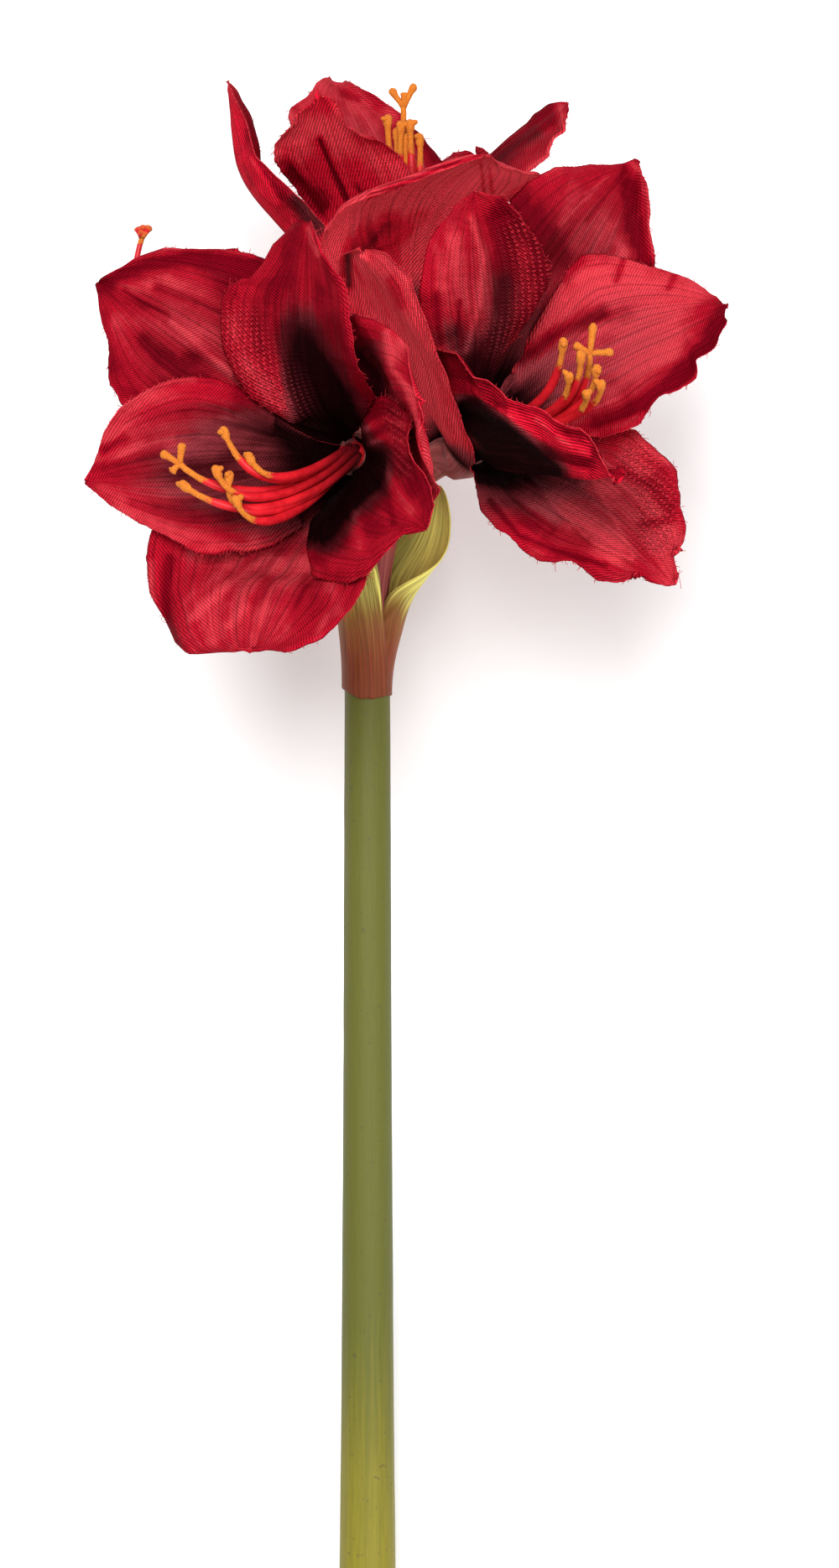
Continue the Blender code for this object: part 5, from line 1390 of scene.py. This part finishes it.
class AMARYLLIS_OT_stem(bpy.types.Operator):
    """Add the moulded stem and show the end of its wire."""

    bl_idname = "amaryllis.stem"
    bl_label = "Stem"

    def execute(self, context):
        settings = context.scene.amaryllis
        heights, radii = zip(*STEM_RADII)
        z = np.concatenate([[STEM_END], np.linspace(STEM_END + 0.6, STEM_TOP - 0.4, 150), [STEM_TOP]])
        size = np.interp(z, heights, radii)
        size[0] -= 0.6
        size[-1] -= 0.4
        path = np.stack([np.zeros_like(z), np.zeros_like(z), z], 1)
        ribs = lambda gone, turn, r: 0.10 * lattice_noise(turn * 4.5, gone / 120, 4) + 0.06 * lattice_noise(
            turn * 2, gone / 14, 9)
        stem = rolled("stem_moulding", path, size, 64, relief=ribs)
        stem.data.materials.append(stem_finish(settings))
        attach(stem, "root")
        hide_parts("stem")
        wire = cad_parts["stem_wire"]
        wire.data.materials.clear()
        wire.data.materials.append(wire_finish())
        return {"FINISHED"}


class AMARYLLIS_OT_bracts(bpy.types.Operator):
    """Add the leafy bracts round the stem's top."""

    bl_idname = "amaryllis.bracts"
    bl_label = "Bracts"

    def execute(self, context):
        settings = context.scene.amaryllis
        leaf = bract_finish(settings)
        for number, (name, spec) in enumerate(BRACTS.items()):
            points = grabbed(bract_surface(spec), GRABS.get(name, ()))
            rows, cols = points.shape[0] - 1, points.shape[1] - 1
            s = np.linspace(0, 1, rows + 1)[:, None] * np.ones((1, cols + 1))
            lane = np.linspace(-1, 1, cols + 1)[None] * np.ones((rows + 1, 1))
            normals = surface_normals(points)
            wave = 0.12 * lattice_noise(lane * 9, s * 2, number + 60) * smooth(s / 0.3)
            points = points + wave[..., None] * normals
            # painted light: random crush plus fold strokes of painted shade and painted highlight
            crush = 0.4 * lattice_noise(lane * 4, s * 2, number + 70)
            for painted_tone, reach, height, line in FOLD_SHAPES_AND_PAINTED_LIGHT.get(name, ()):
                near = near_line(points, line, reach)
                crush = crush * (1 - 0.5 * near) + painted_tone * near
                points[..., 1] -= height * near
            maps = {"blade": np.stack([s, (lane + 1) / 2], -1)}
            obj = shaped_grid(f"{name}_leaf", points, maps, {"reach": s, "crush": np.clip(crush, -1, 1)})
            obj.data.materials.append(leaf)
            solid = obj.modifiers.new("leaf", "SOLIDIFY")
            solid.thickness = LEAF_THICKNESS
            solid.offset = 0.0
            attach(obj, "root")
            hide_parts(name)
        return {"FINISHED"}


class AMARYLLIS_OT_stalks(bpy.types.Operator):
    """Add the stalk and cup of each bloom."""

    bl_idname = "amaryllis.stalks"
    bl_label = "Stalks"

    def execute(self, context):
        settings = context.scene.amaryllis
        finish = stalk_finish(settings)
        for name, bloom in BLOOMS.items():
            stalk_piece(name, bloom, finish)
        return {"FINISHED"}


class AMARYLLIS_OT_stamens(bpy.types.Operator):
    """Add the filaments and style of each bloom."""

    bl_idname = "amaryllis.stamens"
    bl_label = "Stamens"

    def execute(self, context):
        settings = context.scene.amaryllis
        finish = filament_finish(settings)
        for name, bloom in BLOOMS.items():
            stamens_piece(name, bloom, finish)
        return {"FINISHED"}


class AMARYLLIS_OT_petals(bpy.types.Operator):
    """Add the cloth petals of each bloom."""

    bl_idname = "amaryllis.petals"
    bl_label = "Petals"

    def execute(self, context):
        settings = context.scene.amaryllis
        finishes = [petal_finish("petal_outer_face", settings, True),
                    petal_finish("petal_inner_face", settings, False),
                    rim_finish(settings)]
        seed = 100
        shapes = all_petals()
        for bloom_name, bloom in BLOOMS.items():
            for number, spec in enumerate(bloom["petals"], 1):
                name = f"{bloom_name}_petal_{number}"
                petal_piece(name, shapes[name], {**PETAL, **spec}, settings, finishes, seed)
                seed += 10
        return {"FINISHED"}


class AMARYLLIS_OT_stage(bpy.types.Operator):
    """Add the pale floor, the soft lights and the camera."""

    bl_idname = "amaryllis.stage"
    bl_label = "Stage"

    def execute(self, context):
        settings = context.scene.amaryllis
        bpy.ops.object.select_all(action="DESELECT")
        bpy.ops.mesh.primitive_plane_add(size=FLOOR_SIZE, location=(0.0, 0.0, 0.0))
        floor = context.object
        floor.name = "floor"
        f = Finish("pale_floor")
        f.principled(Base_Color=(0.93, 0.93, 0.93), Roughness=0.9, Specular_IOR_Level=0.1)
        floor.data.materials.append(f.material)
        world = bpy.data.worlds.new("studio")
        world.use_nodes = True
        world.node_tree.nodes["Background"].inputs["Color"].default_value = (1.0, 1.0, 1.0, 1.0)
        world.node_tree.nodes["Background"].inputs["Strength"].default_value = settings.fill
        context.scene.world = world
        for name, (place, size, share) in LIGHTS.items():
            bpy.ops.object.light_add(type="AREA", location=place)
            light = context.object
            light.name = name
            light.data.shape = "DISK"
            light.data.size = size
            light.data.energy = share * settings.key
            aim = Vector(LIGHTS_AIM) - Vector(place)
            light.rotation_euler = aim.to_track_quat("-Z", "Y").to_euler()
        camera = bpy.data.objects.new("camera", bpy.data.cameras.new("camera"))
        context.scene.collection.objects.link(camera)
        upright = Matrix.Translation(CAMERA_PLACE) @ Euler((math.pi / 2, 0.0, 0.0)).to_matrix().to_4x4()
        camera.matrix_world = LYING @ upright
        camera.data.sensor_width = SENSOR
        camera.data.lens = LENS
        camera.data.clip_end = 50.0
        context.scene.camera = camera
        context.scene.view_settings.view_transform = "Standard"
        return {"FINISHED"}


class AMARYLLIS_PT_panel(bpy.types.Panel):
    """Sizes, colours and steps of the amaryllis."""

    bl_label = "Artificial Amaryllis"
    bl_idname = "AMARYLLIS_PT_panel"
    bl_space_type = "VIEW_3D"
    bl_region_type = "UI"
    bl_category = "Amaryllis"

    def draw(self, context):
        settings = context.scene.amaryllis
        for key in settings.bl_rna.properties.keys():
            if key not in ("rna_type", "name"):
                self.layout.prop(settings, key)
        for step in STEPS:
            self.layout.operator(step.bl_idname)


STEPS = (AMARYLLIS_OT_stem, AMARYLLIS_OT_bracts, AMARYLLIS_OT_stalks, AMARYLLIS_OT_stamens,
         AMARYLLIS_OT_petals,
         AMARYLLIS_OT_stage)
CLASSES = (AmaryllisSettings, *STEPS, AMARYLLIS_PT_panel)


def register():
    for cls in CLASSES:
        bpy.utils.register_class(cls)
    bpy.types.Scene.amaryllis = bpy.props.PointerProperty(type=AmaryllisSettings)


def unregister():
    del bpy.types.Scene.amaryllis
    for cls in reversed(CLASSES):
        bpy.utils.unregister_class(cls)


def main():
    register()
    bpy.ops.amaryllis.stem()
    bpy.ops.amaryllis.bracts()
    bpy.ops.amaryllis.stalks()
    bpy.ops.amaryllis.stamens()
    bpy.ops.amaryllis.petals()
    bpy.ops.amaryllis.stage()


if __name__ == "__main__":
    main()
